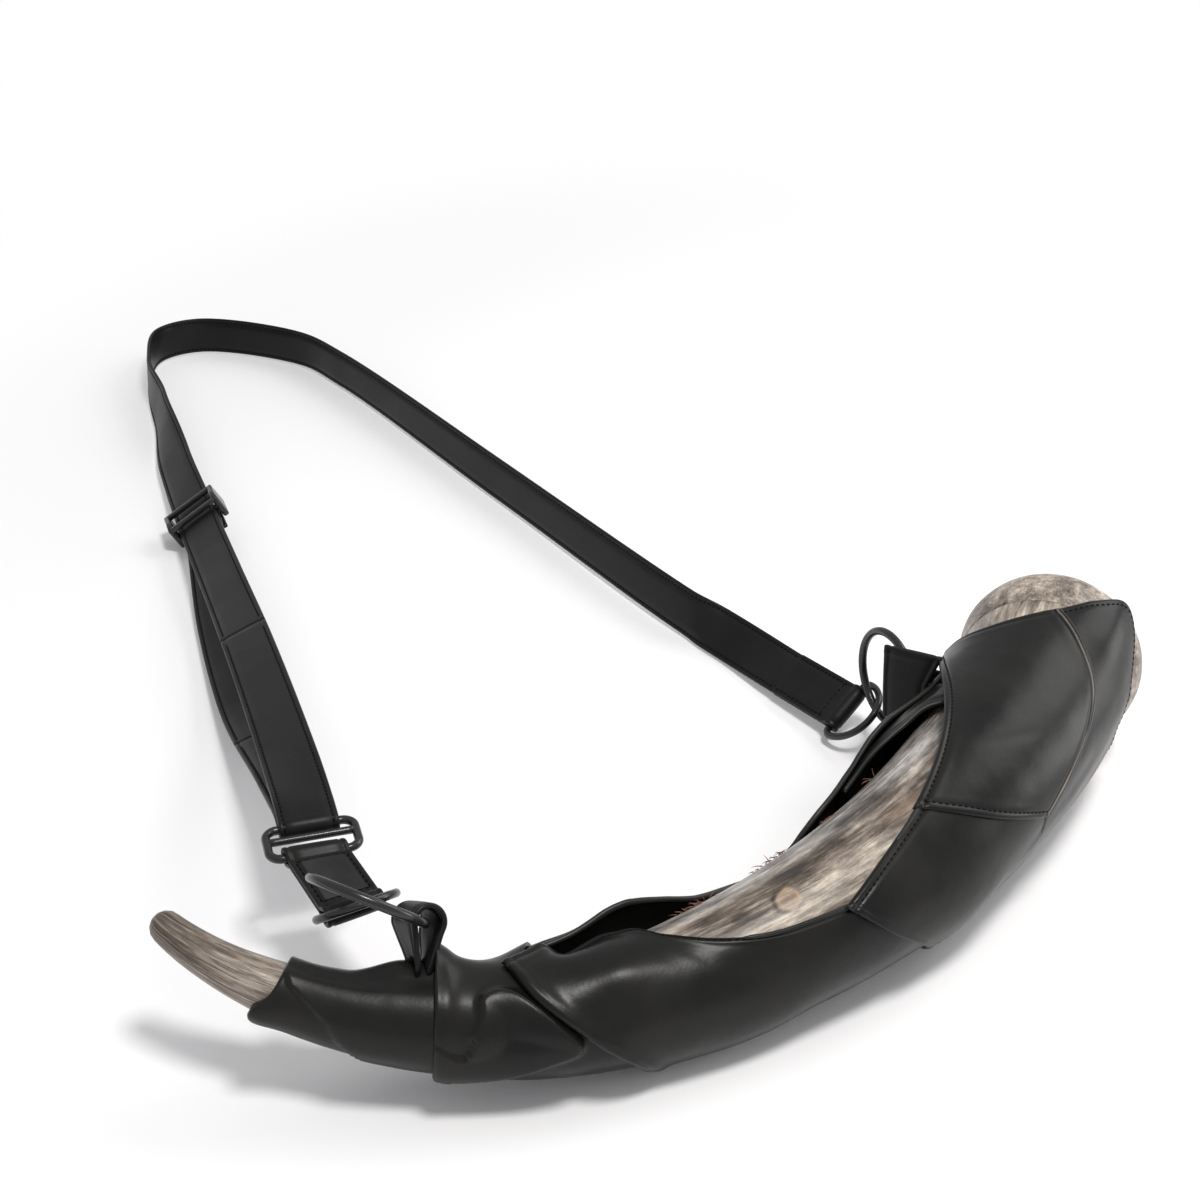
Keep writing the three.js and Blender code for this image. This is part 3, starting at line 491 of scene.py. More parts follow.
def patch(front, back, start, end, rows, columns):
    u, v = eased(rows), eased(columns)
    f, b, s, e = curve(front, u), curve(back, u), curve(start, v), curve(end, v)
    uu, vv = u[:, None, None], v[None, :, None]
    made = f[:, None] * (1 - vv) + b[:, None] * vv + s[None] * (1 - uu) + e[None] * uu
    c = [vec(*p) for p in (front[0], front[-1], back[0], back[-1])]
    made -= (1 - uu) * (1 - vv) * c[0] + uu * (1 - vv) * c[1] + (1 - uu) * vv * c[2] + uu * vv * c[3]
    return made[..., 0], made[..., 1], u


def run_length(points, axis, reverse):
    if reverse:
        points = np.flip(points, axis)
    step = np.linalg.norm(np.diff(points, axis=axis), axis=-1)
    total = np.cumsum(step, axis)
    zero = np.zeros_like(np.take(total, [0], axis))
    total = np.concatenate([zero, total], axis)
    return np.flip(total, axis) if reverse else total


EDGES = {"start": (0, False), "end": (0, True), "front": (1, False), "back": (1, True)}
STITCH_IN = 3.0


def normals_of(grid):
    a = np.gradient(grid, axis=0)
    b = np.gradient(grid, axis=1)
    return unit(np.cross(a, b))


def sheet(k, angle, lift, shape, open_edges, round_columns=False):
    """Outer and inner points of a leather sheet, with turned edges where they are open."""
    s = k * LENGTH
    flat = sleeve(k, angle, lift + LEATHER)
    rise = shape(s, angle)
    distance = {e: run_length(flat, *EDGES[e]) for e in EDGES if not (round_columns and e in ("front", "back"))}
    thick = np.full(k.shape, LEATHER)
    for e in open_edges:
        d = distance[e]
        thick = thick * (0.3 + 0.7 * np.sqrt(1 - (1 - share(d / 1.1)) ** 2))
        roll = 1.0 if e == "front" else 0.0 if round_columns else 0.35
        thick += roll * (0.3 * hump(d, 1.5, 0.8) - 0.34 * hump(d, STITCH_IN, 0.55) + 0.2 * hump(d, 5.2, 1.7))
    outer = sleeve(k, angle, lift + rise + thick)
    inner = sleeve(k, angle, lift)
    outer[..., 2] = np.maximum(outer[..., 2], 0.02)
    inner[..., 2] = np.maximum(inner[..., 2], 0.1)
    return outer, inner, distance


def edge_path(outer, distance, edge, inset, margin=0.0):
    """The path at an inset from an edge, with its normals."""
    axis = EDGES[edge][0]
    d = distance[edge]
    across = normals_of(outer)
    lines, ups = [], []
    count = d.shape[1 - axis]
    for i in range(count):
        line = np.take(outer, i, 1 - axis)
        up = np.take(across, i, 1 - axis)
        at = np.take(d, i, 1 - axis)
        order = np.argsort(at)
        if at.max() < inset * 1.2:
            continue
        lines.append([np.interp(inset, at[order], line[order, c]) for c in range(3)])
        ups.append([np.interp(inset, at[order], up[order, c]) for c in range(3)])
    lines, ups = np.array(lines), np.array(ups)
    length = run_of(lines)
    keep = (length >= margin) & (length <= length[-1] - margin)
    return lines[keep], ups[keep]


def outward(path, ups):
    """The normals turned away from the horn's axis."""
    axis = frames(np.linspace(0, LENGTH, 379))[0]
    near = axis[np.argmin(((path[:, None] - axis) ** 2).sum(-1), 1)]
    away = ((path - near) * ups).sum(1, keepdims=True) > 0
    return np.where(away, ups, -ups)


def flat(k, angle):
    return 0 * k


def cuff_hang(k, angle):
    along = smooth((k - 0.152) / 0.048) * np.exp(np.minimum(0, (WRAP_START - k) / 0.024))
    return CUFF_RISE * along * hump(signed(angle), -35, 30)


def ear(k, angle):
    return EAR_RISE * hump(k, 0.322, 0.042) * hump(signed(angle), -60, 22)


def wrap_hang(k, angle):
    pull = EDGE_PULL * hump(signed(angle), -35, 30) + 1.4 * hump(signed(angle), 25, 40)
    return pull * np.exp((WRAP_START - k) / 0.024) + ear(k, angle)


def front_hang(k, angle):
    along = smooth((k - 0.318) / 0.026) * smooth((0.43 - k) / 0.04)
    return wrap_hang(k, angle) - KNUCKLE_DIP * along * hump(signed(angle), -43, 24)


def lining_hang(k, angle):
    close = 2.8 * smooth((k - 0.76) / 0.05) * smooth((signed(angle) + 56) / 18)
    return close - 1.6 * smooth((signed(angle) + 64) / 12)


def grain_of(k, angle):
    s = k * LENGTH
    return np.stack([s, girth(s, angle), 0 * s], -1)


def leather_shell(outer, inner, grain, round_columns=False):
    """A piece with the two sides of a sheet and the walls between them."""
    points = np.concatenate([outer.reshape(-1, 3), inner.reshape(-1, 3)])
    faces = face_out(points, shell_faces(*grain.shape[:2], round_columns))
    return Piece().add(points, faces, 0, np.concatenate([grain, grain]))


def leather_panel(name, node, edges, rows, columns, lift, shape, open_edges, sewn, pipe=(), hang=flat):
    k, angle, u = patch(*edges, rows, columns)
    level = lift(u)[:, None] if callable(lift) else np.full((rows, 1), lift)
    outer, inner, distance = sheet(k, angle, level + hang(k, angle), shape, open_edges)
    piece = leather_shell(outer, inner, grain_of(k, angle))
    for edge, margin in sewn:
        path, ups = edge_path(outer, distance, edge, STITCH_IN, margin)
        stitches(piece, path, outward(path, ups))
    for edge, inset, radius, start, stop, slot in pipe:
        path, ups = edge_path(outer, distance, edge, inset)
        a, b = int(start * len(path)), int(stop * len(path))
        path, ups = path[a:b], outward(path, ups)[a:b]
        ends = np.minimum(1, np.minimum(np.arange(len(path)), np.arange(len(path))[::-1]) / 3 + 0.3)
        tube(piece, path - ups * radius * 0.35, radius * ends, 8, slot)
    return piece.make(name, [SLEEVE, THREAD, PIPING, WORN_EDGE_AND_HIGHLIGHT], "flask", node, "sleeve_leather")


def ridge(s, angle, line, height, inside, outside):
    """A soft fold along a line of (station, angle), steep on its outside."""
    line = curve(line, np.linspace(0, 1, 90))
    r = radius_at(s)
    best = np.full(s.shape, 1e9)
    side = np.zeros(s.shape)
    for a, b in zip(line[:-1], line[1:]):
        ax, ay = a[0] - s, r * np.radians(a[1] - angle)
        bx, by = b[0] - s, r * np.radians(b[1] - angle)
        dx, dy = bx - ax, by - ay
        t = share(-(ax * dx + ay * dy) / (dx * dx + dy * dy + 1e-9))
        px, py = ax + t * dx, ay + t * dy
        d = np.hypot(px, py)
        cross = dx * (-py) - dy * (-px)
        closer = d < best
        side = np.where(closer, np.sign(cross), side)
        best = np.where(closer, d, best)
    inner = height * np.exp(-((best / inside) ** 2))
    outer = height * np.exp(-((best / outside) ** 2))
    return np.where(side >= 0, inner, outer)


def soft(seed, broad=0.45, fine=0.12):
    def shape(s, angle):
        y = girth(s, angle)
        return broad * turbulence(s / 26, y / 22, 0, seed, 2) + fine * turbulence(s / 7, y / 6, 0, seed + 9, 2)
    return shape


def wrap_end(angle):
    return 0.3386 + 0.0556 * np.cos(np.radians(angle - 160))


def shingle(u):
    return LAYER[1] + (LAYER[2] - LAYER[1]) * (1 - smooth((u - 0.23) / 0.4))


# Tip cuff and wrap, which close on themselves round the horn
def leather_tube(name, node, start_at, end_at, lift, shape, hang, open_edges):
    rows, columns = 64, 144
    angle = np.linspace(-180, 180, columns, endpoint=False)[None, :] + np.zeros((rows, 1))
    v = eased(rows)[:, None]
    k = start_at(angle) + v * (end_at(angle) - start_at(angle))
    outer, inner, _ = sheet(k, angle, lift + hang(k, angle), shape, open_edges, True)
    grain = np.stack([k * LENGTH, 12 * np.cos(np.radians(angle)), 12 * np.sin(np.radians(angle))], -1)
    piece = leather_shell(outer, inner, grain, True)
    return piece.make(name, [SLEEVE, THREAD], "flask", node, "sleeve_leather")


def cuff_shape(s, angle):
    seam = np.interp(angle, [0, 20, 32, 51, 75, 100, 150], [39, 40.5, 42, 49, 56, 60, 70])
    lapped = 1.2 * smooth((s - seam) / 1.0) * smooth((angle + 5) / 25) * smooth((190 - angle) / 60)
    flare = (0.6 + 2.0 * hump(angle, 95, 34)) * hump(s, CUFF_MOUTH * LENGTH - 2, 7.0)
    return lapped + flare + soft(3, 0.35, 0.05)(s, angle)


PILLOW = [
    (98, 62), (100, 42), (100, 28), (104, 21), (109, 25), (114, 38), (120, 57), (126, 80),
    (118, 91), (107, 106), (93, 119),
]


def wrap_shape(s, angle):
    fold = ridge(s, angle, PILLOW, 2.7, 9.0, 1.5)
    roll = 0.5 * hump(s, WRAP_START * LENGTH + 2, 2.5)
    return fold + roll + soft(11, 0.35, 0.05)(s, angle)


leather_tube(
    "tip_cuff_leather", "tip_cuff",
    lambda a: CUFF_MOUTH + 0.004 * np.cos(np.radians(a)) - 0.009 * hump(a, 97, 30),
    lambda a: WRAP_START + LAP + 0 * a,
    LAYER[0], cuff_shape, cuff_hang, ["start"],
)
leather_tube(
    "wrap_panel_leather", "wrap_panel",
    lambda a: WRAP_START - 0.003 - 0.003 * np.cos(np.radians(a + 20)), lambda a: wrap_end(a) + LAP,
    LAYER[1], wrap_shape, wrap_hang, ["start"],
)

FRONT_START = [(wrap_end(a), a) for a in (-20, 30, 75, 120, UNDERSIDE)]
FRONT_END = [(0.562 + LAP, 45), (0.59 + LAP, 75), (0.643 + LAP, 125), (0.667 + LAP, UNDERSIDE)]
FRONT_WINDOW = [
    FRONT_START[0], (0.323, -38), (0.37, -43), (0.397, -30), (0.421, -4), (0.455, 20), (0.503, 37), FRONT_END[0],
]


def front_shape(s, angle):
    roll = 1.0 * hump(s, wrap_end(angle) * LENGTH + 3.0, 3.0) * smooth((angle + 15) / 30)
    dent = -0.9 * hump(s, 137, 7) * hump(angle, 52, 16) + 0.8 * hump(s, 143, 10) * hump(angle, 22, 16)
    return roll + dent + soft(21, 0.5, 0.06)(s, angle) * smooth((168 - angle) / 20)


leather_panel(
    "front_panel_leather", "front_panel",
    (FRONT_WINDOW, [FRONT_START[-1], (0.532, UNDERSIDE), FRONT_END[-1]], FRONT_START, FRONT_END),
    110, 100, shingle, front_shape, ["start", "front"], [("front", 34)],
    [("front", 0.7, 0.75, 0.72, 0.97, 2)], front_hang,
)


def lower_shape(s, angle):
    puff = 1.6 * hump(s, 262, 16) * hump(angle, 96, 26)
    y = girth(s, angle)
    folds = 0.5 * noise(s / 30, y / 5, 0, 5) * smooth((angle - 75) / 30) * smooth((s - 250) / 20)
    return puff + folds + soft(31, 0.45, 0.06)(s, angle) * smooth((170 - angle) / 20)


leather_panel(
    "lower_panel_leather", "lower_panel",
    (
        [(0.562, 45), (0.619, 28), (0.69 + LAP, 6)],
        [(0.667, UNDERSIDE), (0.786, UNDERSIDE)],
        [(0.562, 45), (0.59, 75), (0.643, 125), (0.667, UNDERSIDE)],
        [(0.69 + LAP, 6), (0.738 + LAP, 52), (0.784, 80), (0.786, 125), (0.786, UNDERSIDE)],
    ),
    80, 100, shingle, lower_shape, ["start", "front"], [("front", 4)],
    [("front", 0.7, 0.8, 0.02, 0.1, 2), ("front", 0.7, 0.8, 0.55, 0.86, 2)],
)


def shoulder_shape(s, angle):
    y = girth(s, angle)
    crease = -0.22 * hump(y - 0.5 * (s - 300), 12, 2.2) * smooth((s - 285) / 10) * smooth((315 - s) / 14)
    return crease + soft(41, 0.22, 0.04)(s, angle)


leather_panel(
    "shoulder_panel_leather", "shoulder_panel",
    (
        [(0.667, 15), (0.733, -3), (0.82, -30), (0.945, -74)],
        [(0.783, 80), (0.833, 67), (0.876, 57), (0.913, 45), (0.942, 27), (0.977, 6)],
        [(0.667, 15), (0.699, 38), (0.733, 58), (0.783, 80)],
        [(0.945, -74), (0.94, -33), (0.977, 6)],
    ),
    110, 90, LAYER[2], shoulder_shape, ["start", "front", "back", "end"], [("front", 3), ("start", 3)],
    # The second pipe on the back edge is a thin pale line: worn raw edge, and also a painted highlight on the rolled
    # edge
    [("back", 0.3, 0.75, 0.03, 0.98, 2), ("back", 1.7, 0.4, 0.04, 0.97, 3)],
)


def tucked(u):
    return LAYER[0] + (LAYER[1] - LAYER[0]) * smooth((u - 0.045) / 0.035)


def collar_shape(s, angle):
    y = girth(s, angle)
    folds = 0.35 * noise(s / 40, y / 6, 0, 8)
    return folds + soft(51, 0.35, 0.06)(s, angle) * smooth((165 - angle) / 20)


leather_panel(
    "end_collar_leather", "end_collar",
    (
        [(0.774, 82), (0.82, 63), (0.86, 51), (0.894, 38), (0.923, 22), (0.972, -1)],
        [(0.774, UNDERSIDE), (0.978, UNDERSIDE)],
        [(0.774, 82), (0.774, 125), (0.774, UNDERSIDE)],
        [
            (0.972, -1), (0.99, 12), (1.009, 25), (1.028, 38), (1.015, 50), (0.988, 66), (0.968, 92), (0.962, 125),
            (0.978, UNDERSIDE),
        ],
    ),
    80, 100, tucked, collar_shape, ["end"], [("end", 3)],
)

BACK_START = [(wrap_end(a) - LAP, a) for a in (317, 270, 220, SEAM_ANGLE)]
leather_panel(
    "back_panel_leather", "back_panel",
    (
        [
            BACK_START[0], (0.32, 316), (0.4, 316), (0.45, 312), (0.5, 298), (0.55, 284),
            (0.6, 283), (0.65, 300), (0.74, 302), (0.83, 296), (0.95, 287),
        ],
        [BACK_START[-1], (0.66, SEAM_ANGLE), (0.975, SEAM_ANGLE)],
        BACK_START,
        [(0.95, 287), (0.97, 230), (0.975, SEAM_ANGLE)],
    ),
    150, 80, LAYER[0], soft(61, 0.3, 0.1), ["front", "end"], [("front", 6), ("end", 3)],
    [("front", 0.35, 0.95, 0.02, 0.985, 2)], ear,
)
leather_panel(
    "window_lining_leather", "window_lining",
    (
        [(0.68, 301), (0.74, 305), (0.785, 315), (0.812, 327), (0.822, 340)],
        [(0.68, 284), (0.89, 276)],
        [(0.68, 301), (0.68, 284)],
        [(0.822, 340), (0.87, 310), (0.89, 276)],
    ),
    60, 40, LAYER[0] - 2 * LAYER_GAP - LEATHER, soft(71, 0.1, 0.05), ["front"], [],
    [("front", 0.3, 0.8, 0.02, 0.98, 2)], lining_hang,
)

def paint(obj, **fields):
    """Values on the points of an object, which its material reads by name."""
    for name, values in fields.items():
        made = obj.data.attributes.new(name, "FLOAT", "POINT")
        made.data.foreach_set("value", np.clip(values, 0, 1).astype(np.float32).ravel())


# Horn, with its streaks and knot; the marks are at (station, angle)
KNOT_STATION, KNOT_ANGLE = 201, 16.5
DARK_MARKS = [(205, -7), (212, 1), (228, -2), (239, -20), (253, -24), (185, 13), (182, 20), (177, -1)]
PALE_MARKS = [(215, 21), (221, 17), (232, 16), (207, 32), (196, 39), (168, 2), (163, -10), (275, -16), (287, -24)]


def horn_piece():
    columns = 216
    angle = np.linspace(-180, 180, columns, endpoint=False)
    rings, stations = [], []
    for a in (84, 66, 46, 24):
        r = TIP_R * math.cos(math.radians(a))
        rings.append(around(np.zeros(columns), angle, np.full(columns, r), -TIP_R * math.sin(math.radians(a))))
        stations.append(0.0)
    for s in np.linspace(0, LENGTH, 460):
        y = girth(s, angle)
        wave = 0.3 * noise(s / 50, np.cos(np.radians(angle)) * 1.6, np.sin(np.radians(angle)) * 1.6, 2)
        wave = wave + 0.06 * noise(s / 30, y / 2.2, 0, 4) * smooth((s - 20) / 30)
        wave = wave * smooth((s - 4) / 20) * smooth((LENGTH - s) / 8) + DOME_LIP * smooth((s - LENGTH + 14) / 14)
        rings.append(around(np.full(columns, s), angle, radius_at(s) - flat_side(s, angle) + wave))
        stations.append(s)
    cavity = CAVITY_START * LENGTH
    for s in np.linspace(LENGTH, cavity, 40):
        rings.append(around(np.full(columns, s), angle, np.full(columns, radius_at(s) - HORN_WALL)))
        stations.append(s)
    blind = radius_at(cavity) - HORN_WALL
    for r, back in ((0.7, 0.5), (0.2, 0.7)):
        rings.append(around(np.full(columns, cavity), angle, np.full(columns, blind * r), -blind * back))
        stations.append(cavity)
    s = np.array(stations)[:, None] + np.zeros((1, columns))
    a = np.radians(angle)[None, :] + np.zeros((len(stations), 1))
    grain = np.stack([s, 22 * np.cos(a), 22 * np.sin(a)], -1)
    piece = Piece()
    loft(piece, rings, grain=grain)
    obj = piece.make("horn_body", [HORN], "flask", "horn_shell", "horn")
    degrees = np.degrees(a)
    tip = 0.5 - 0.22 * hump(s, 0, 22) + 0.02 * noise(s / 12, degrees / 40, 0, 6)
    window = 0.44 + 0.1 * noise(s / 34, degrees / 26, 0, 13) + 0.1 * noise(s / 14, degrees / 12, 0, 17)
    window += 0.1 * smooth((degrees - 12) / 14) - 0.08 * hump(degrees, 2, 12) + 0.05 * smooth((-20 - degrees) / 14)
    for amount, marks in ((-0.24, DARK_MARKS), (0.17, PALE_MARKS)):
        for station, angle_at in marks:
            window += amount * hump(s, station, 6.5) * hump(degrees, angle_at, 6)
    tone = tip + (window - tip) * smooth((s - 110) / 30)
    d = np.hypot((s - KNOT_STATION) / 3.7, (degrees - KNOT_ANGLE) / 9.5) + 0.2 * noise(s / 2.6, degrees / 7, 0, 19)
    knot = 0.8 * hump(d, 0.88, 0.17) + 0.28 * smooth((0.8 - d) / 0.15)
    tone -= 0.3 * hump(d, 1.35, 0.25) * smooth((206 - s) / 8)
    knot += 0.3 * hump(s, 255, 8) * hump(degrees, 8, 6)
    tone += (0.5 - tone) * smooth((s - 318) / 20)
    cool = 0.75 * smooth((-4 - degrees) / 22) * smooth((s - 110) / 30) * smooth((325 - s) / 30)
    paint(obj, tone=tone, knot=knot, cool=cool)


horn_piece()

# Domed plug, turned about the mouth axis
MOUTH_C, MOUTH_T, MOUTH_U, MOUTH_N = (a[0] for a in frames(np.array([LENGTH])))


def plug_piece():
    columns = 128
    dome = MOUTH_R + DOME_LIP
    bulge = DOME_HEIGHT * 0.3
    profile = [(0.01, -SPIGOT_LENGTH), (SPIGOT_R - 0.6, -SPIGOT_LENGTH), (SPIGOT_R, -SPIGOT_LENGTH + 0.6)]
    profile += [(SPIGOT_R, JOIN_GAP), (dome - 0.5, JOIN_GAP), (dome - 0.15, 0.08)]
    for k in np.linspace(0.02, 1, 12):
        profile.append((dome + DOME_SWELL * math.sin(math.pi / 2 * k), bulge * k))
    for k in np.linspace(0, 1, 40)[1:-1]:
        a = math.pi / 2 * k
        profile.append(((dome + DOME_SWELL) * math.cos(a), bulge + (DOME_HEIGHT - bulge) * math.sin(a)))
    profile.append((0.01, DOME_HEIGHT))
    a = np.linspace(0, 2 * math.pi, columns, endpoint=False)
    across = np.cos(a)[:, None] * MOUTH_U + np.sin(a)[:, None] * MOUTH_N
    rings, tones = [], []
    for r, h in profile:
        dent = 0.25 * noise(r / 14, np.cos(a) * 2, np.sin(a) * 2, 23) * (h > 2)
        rings.append(MOUTH_C + MOUTH_T * h + across * (r + dent * (r > 1))[:, None])
        x, y = r * np.cos(a), r * np.sin(a)
        arcs = np.hypot(x + 26, (y - 18) * 0.9) / 5.5
        tone = 0.56 + 0.13 * noise(arcs * 1.7, y / 30, 0, 27) + 0.08 * noise(arcs * 3.1, x / 26, 0, 29)
        tones.append(tone - 0.16 * smooth((y - 6) / 20))
    rings = np.array(rings)
    local = rings - MOUTH_C
    grain = np.stack([local @ MOUTH_U * 2.0, local @ MOUTH_N * 0.7, local @ MOUTH_T * 0.7], -1)
    piece = Piece()
    loft(piece, rings, grain=grain)
    obj = piece.make("base_plug", [HORN], "stopper", "base_stopper", "plug")
    tones = np.array(tones)
    paint(obj, tone=tones, knot=tones * 0, cool=tones * 0)


plug_piece()
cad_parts["stopper_seal"].data.materials.clear()
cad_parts["stopper_seal"].data.materials.append(SEAL)


# Directions and places of the carrying gear
def direction(heading, climb):
    h, c = math.radians(heading), math.radians(climb)
    return vec(math.cos(h) * math.cos(c), math.sin(h) * math.cos(c), math.sin(c))


def square(v, to):
    return unit(v - np.dot(v, to) * to)


def turned_about(v, axis, degrees):
    a = math.radians(degrees)
    return v * math.cos(a) + np.cross(axis, v) * math.sin(a) + axis * np.dot(axis, v) * (1 - math.cos(a))


def tab_frame(station, angle, eye, twist=0.0):
    c, t, u, n = (x[0] for x in frames(np.array([station * LENGTH])))
    a = math.radians(angle)
    out = u * math.cos(a) + n * math.sin(a)
    raised = float(slack(np.array(station), np.array(angle)) + cuff_hang(np.array(station), np.array(angle)))
    seat = LAYER[0] + LEATHER + raised + JOIN_GAP
    foot = c + out * (float(radius_at(station * LENGTH)) + seat)
    return {
        "out": out, "side": turned_about(t, out, twist), "seat": seat, "foot": foot, "eye": foot + out * (eye - seat),
        "round": float(radius_at(station * LENGTH)) + seat,
        "rise": float(cuff_hang(np.array(station), np.array(angle))),
    }


LEFT_TAB = tab_frame(0.208, -39.0, LEFT_LOOP, LEFT_TWIST)
RIGHT_TAB = tab_frame(0.92, -92.0, 12.0)


def tab_loop(piece, tab, loop, bend, foot, taper=0.0):
    """A folded strap: a teardrop outline with rounded edges across its width."""
    top = loop - tab["seat"]
    lean = math.asin((bend - foot) / top)
    arc = np.linspace(-lean, math.pi + lean, 40)
    middle = bend - TAB_LEATHER / 2
    line = [(foot - TAB_LEATHER / 2, TAB_LEATHER * 0.4)]
    line += [(middle * math.cos(a), top + middle * math.sin(a)) for a in arc]
    line += [(TAB_LEATHER / 2 - foot, TAB_LEATHER * 0.4)]
    line = np.array(line)
    dense = []
    for a, b in zip(line[:-1], line[1:]):
        count = max(1, int(np.linalg.norm(b - a) / 1.2))
        dense += [a + (b - a) * i / count for i in range(count)]
    dense = np.array(dense + [line[-1]])
    way = unit(np.gradient(dense, axis=0))
    across = np.cross(tab["side"], tab["out"])
    points = tab["foot"] + dense[:, :1] * tab["side"] + dense[:, 1:] * tab["out"]
    normal = way[:, 1:] * tab["side"] - way[:, :1] * tab["out"]
    wide = strip_profile(TAB_WIDTH, TAB_LEATHER)[:, 0]
    sag = tab["round"] - np.sqrt(tab["round"] ** 2 - wide**2) + JOIN_GAP + 0.3
    sag = sag + tab["rise"] * (1 - hump(np.degrees(wide / tab["round"]), 0, 30))
    drop = (1 - share(dense[:, 1:] / 8)) * sag
    narrow = taper * (1 - smooth((dense[:, 1:] - 1) / 9)) * (TAB_WIDTH / 2 - wide)
    shift = narrow[..., None] * across - drop[..., None] * tab["out"]
    strip(piece, points, np.tile(across, (len(points), 1)), normal, TAB_WIDTH, TAB_LEATHER, shift=shift)


def strip_profile(width, thick, groove=0.22):
    """Half-round edges and a shallow stitch groove, as (across, over) pairs."""
    h = thick / 2
    cap = [(width / 2 - h * 0.8 + h * 0.8 * math.cos(a), h * math.sin(a)) for a in np.linspace(-1.2, 1.2, 7)]
    x = width / 2 - STITCH_EDGE
    top = [(x + 0.7, h), (x + 0.25, h - groove), (x - 0.25, h - groove), (x - 0.7, h + 0.03)]
    top += [(x * f, h + 0.12 * (1 - f * f)) for f in (0.6, 0.3, 0, -0.3, -0.6)]
    top += [(0.7 - x, h + 0.03), (0.25 - x, h - groove), (-0.25 - x, h - groove), (-0.7 - x, h)]
    left = [(-a, b) for a, b in cap[::-1]]
    under = [(a, -b) for a, b in top[::-1]]
    return np.array(cap + top + left + under)


def strip(piece, points, across, normal, width, thick, slot=0, shift=0.0, groove=0.22):
    profile = strip_profile(width, thick, groove)
    across, normal = unit(across), unit(normal)
    sections = points[:, None] + profile[:, :1] * across[:, None] + profile[:, 1:] * normal[:, None] + shift
    grain = np.stack(np.broadcast_arrays(run_of(points)[:, None], profile[:, 0], profile[:, 1]), -1)
    return loft(piece, sections, slot=slot, grain=grain)


left_tab = Piece()
tab_loop(left_tab, LEFT_TAB, LEFT_LOOP, LEFT_BEND, LEFT_FOOT, LEFT_TAPER)
left_tab.make("left_tab_leather", [STRAP, THREAD], "flask", "left_tab", "sleeve_leather")

right_tab = Piece()
tab_loop(right_tab, RIGHT_TAB, RIGHT_LOOP, RIGHT_BEND, RIGHT_FOOT)
leaf_deep = RIGHT_LOOP - RIGHT_TAB["seat"] - TAB_LEATHER + LEAF_REACH
leaf_axis = np.cross(RIGHT_TAB["side"], RIGHT_TAB["out"])
leaf_up = np.linspace(-TAB_WIDTH / 2, TAB_WIDTH / 2 + LEAF_RISE, 60)
leaf_bow = 0.5 * np.sin(np.linspace(0, math.pi, 60)) + 0.3 * hump(leaf_up, leaf_up[-1] - 2, 1.2)
leaf_mid = RIGHT_TAB["foot"] + RIGHT_TAB["out"] * (TAB_LEATHER + leaf_deep / 2)
leaf_mid = leaf_mid + RIGHT_TAB["side"] * (TAB_LEATHER / 2 - RIGHT_BEND)
leaf_points = leaf_mid + leaf_up[:, None] * leaf_axis - leaf_bow[:, None] * RIGHT_TAB["side"]
leaf_across = np.tile(RIGHT_TAB["out"], (60, 1))
leaf_normal = np.tile(-RIGHT_TAB["side"], (60, 1))
leaf_inner = share(0.5 - strip_profile(leaf_deep, TAB_LEATHER)[:, 0] / leaf_deep)
leaf_slant = (TAB_LEATHER + LEAF_DIP + 1.0) * share((leaf_up - TAB_WIDTH / 2) / LEAF_RISE)
leaf_shift = -(leaf_slant[:, None] * leaf_inner)[..., None] * RIGHT_TAB["out"]
strip(right_tab, leaf_points, leaf_across, leaf_normal, leaf_deep, TAB_LEATHER, shift=leaf_shift)
hem = leaf_mid + leaf_axis * (leaf_up[-1] - LEAF_HEM) - RIGHT_TAB["side"] * (TAB_LEATHER / 2 + 0.1)
hem = hem + np.linspace(-leaf_deep / 2 + 1, leaf_deep / 2 - 1, 20)[:, None] * RIGHT_TAB["out"]
stitches(right_tab, hem, np.tile(-RIGHT_TAB["side"], (20, 1)), pitch=2.0, length=1.4)
right_tab.make("right_tab_leather", [STRAP, THREAD], "flask", "right_tab", "sleeve_leather")


# Rings, D-rings and the oval
def wire(name, node, body, path, radius, up, extra=None):
    piece = Piece()
    tube(piece, path, radius, 18, closed=True, up=up)
    if extra is not None:
        tube(piece, *extra, 14, up=up)
    return piece.make(name, [METAL], body, node, "black_metal")


def ring_path(centre, m, u):
    a = np.linspace(0, 2 * math.pi, 120, endpoint=False)
    return centre + RING_R * (np.cos(a)[:, None] * m + np.sin(a)[:, None] * u)


def ring_reach(drop):
    return (RING_R + math.sqrt(max(0.0, RING_R**2 - (TAB_WIDTH / 2 + drop) ** 2))) / 2


LEFT_M = direction(168.6, 18.8)
LEFT_U = square(direction(99, -38.4), LEFT_M)
LEFT_REACH = turned_about(LEFT_M, np.cross(LEFT_U, LEFT_M), LEFT_TWIST)
LEFT_C = LEFT_TAB["eye"] + LEFT_REACH * ring_reach(0)
RIGHT_M = direction(114, 0)
RIGHT_DROP = 3.3
RIGHT_C = RIGHT_TAB["eye"] + RIGHT_M * ring_reach(RIGHT_DROP) - Z * RIGHT_DROP
for side, middle, reach, up in (("left", LEFT_C, LEFT_M, LEFT_U), ("right", RIGHT_C, RIGHT_M, Z)):
    path = ring_path(middle, reach, up)
    wire(side + "_ring_wire", side + "_ring", side + "_ring_body", path, RING_WIRE / 2, np.cross(reach, up))


def evenly(points, count):
    points = np.asarray(points, float)
    loop = np.concatenate([points, points[:1]])
    at = run_of(loop)
    want = np.linspace(0, at[-1], count, endpoint=False)
    return np.stack([np.interp(want, at, loop[:, i]) for i in range(loop.shape[1])], 1)


def arc_points(cx, cy, rx, ry, start, stop, count=24):
    a = np.radians(np.linspace(start, stop, count))
    return [(cx + rx * math.cos(t), cy + ry * math.sin(t)) for t in a]


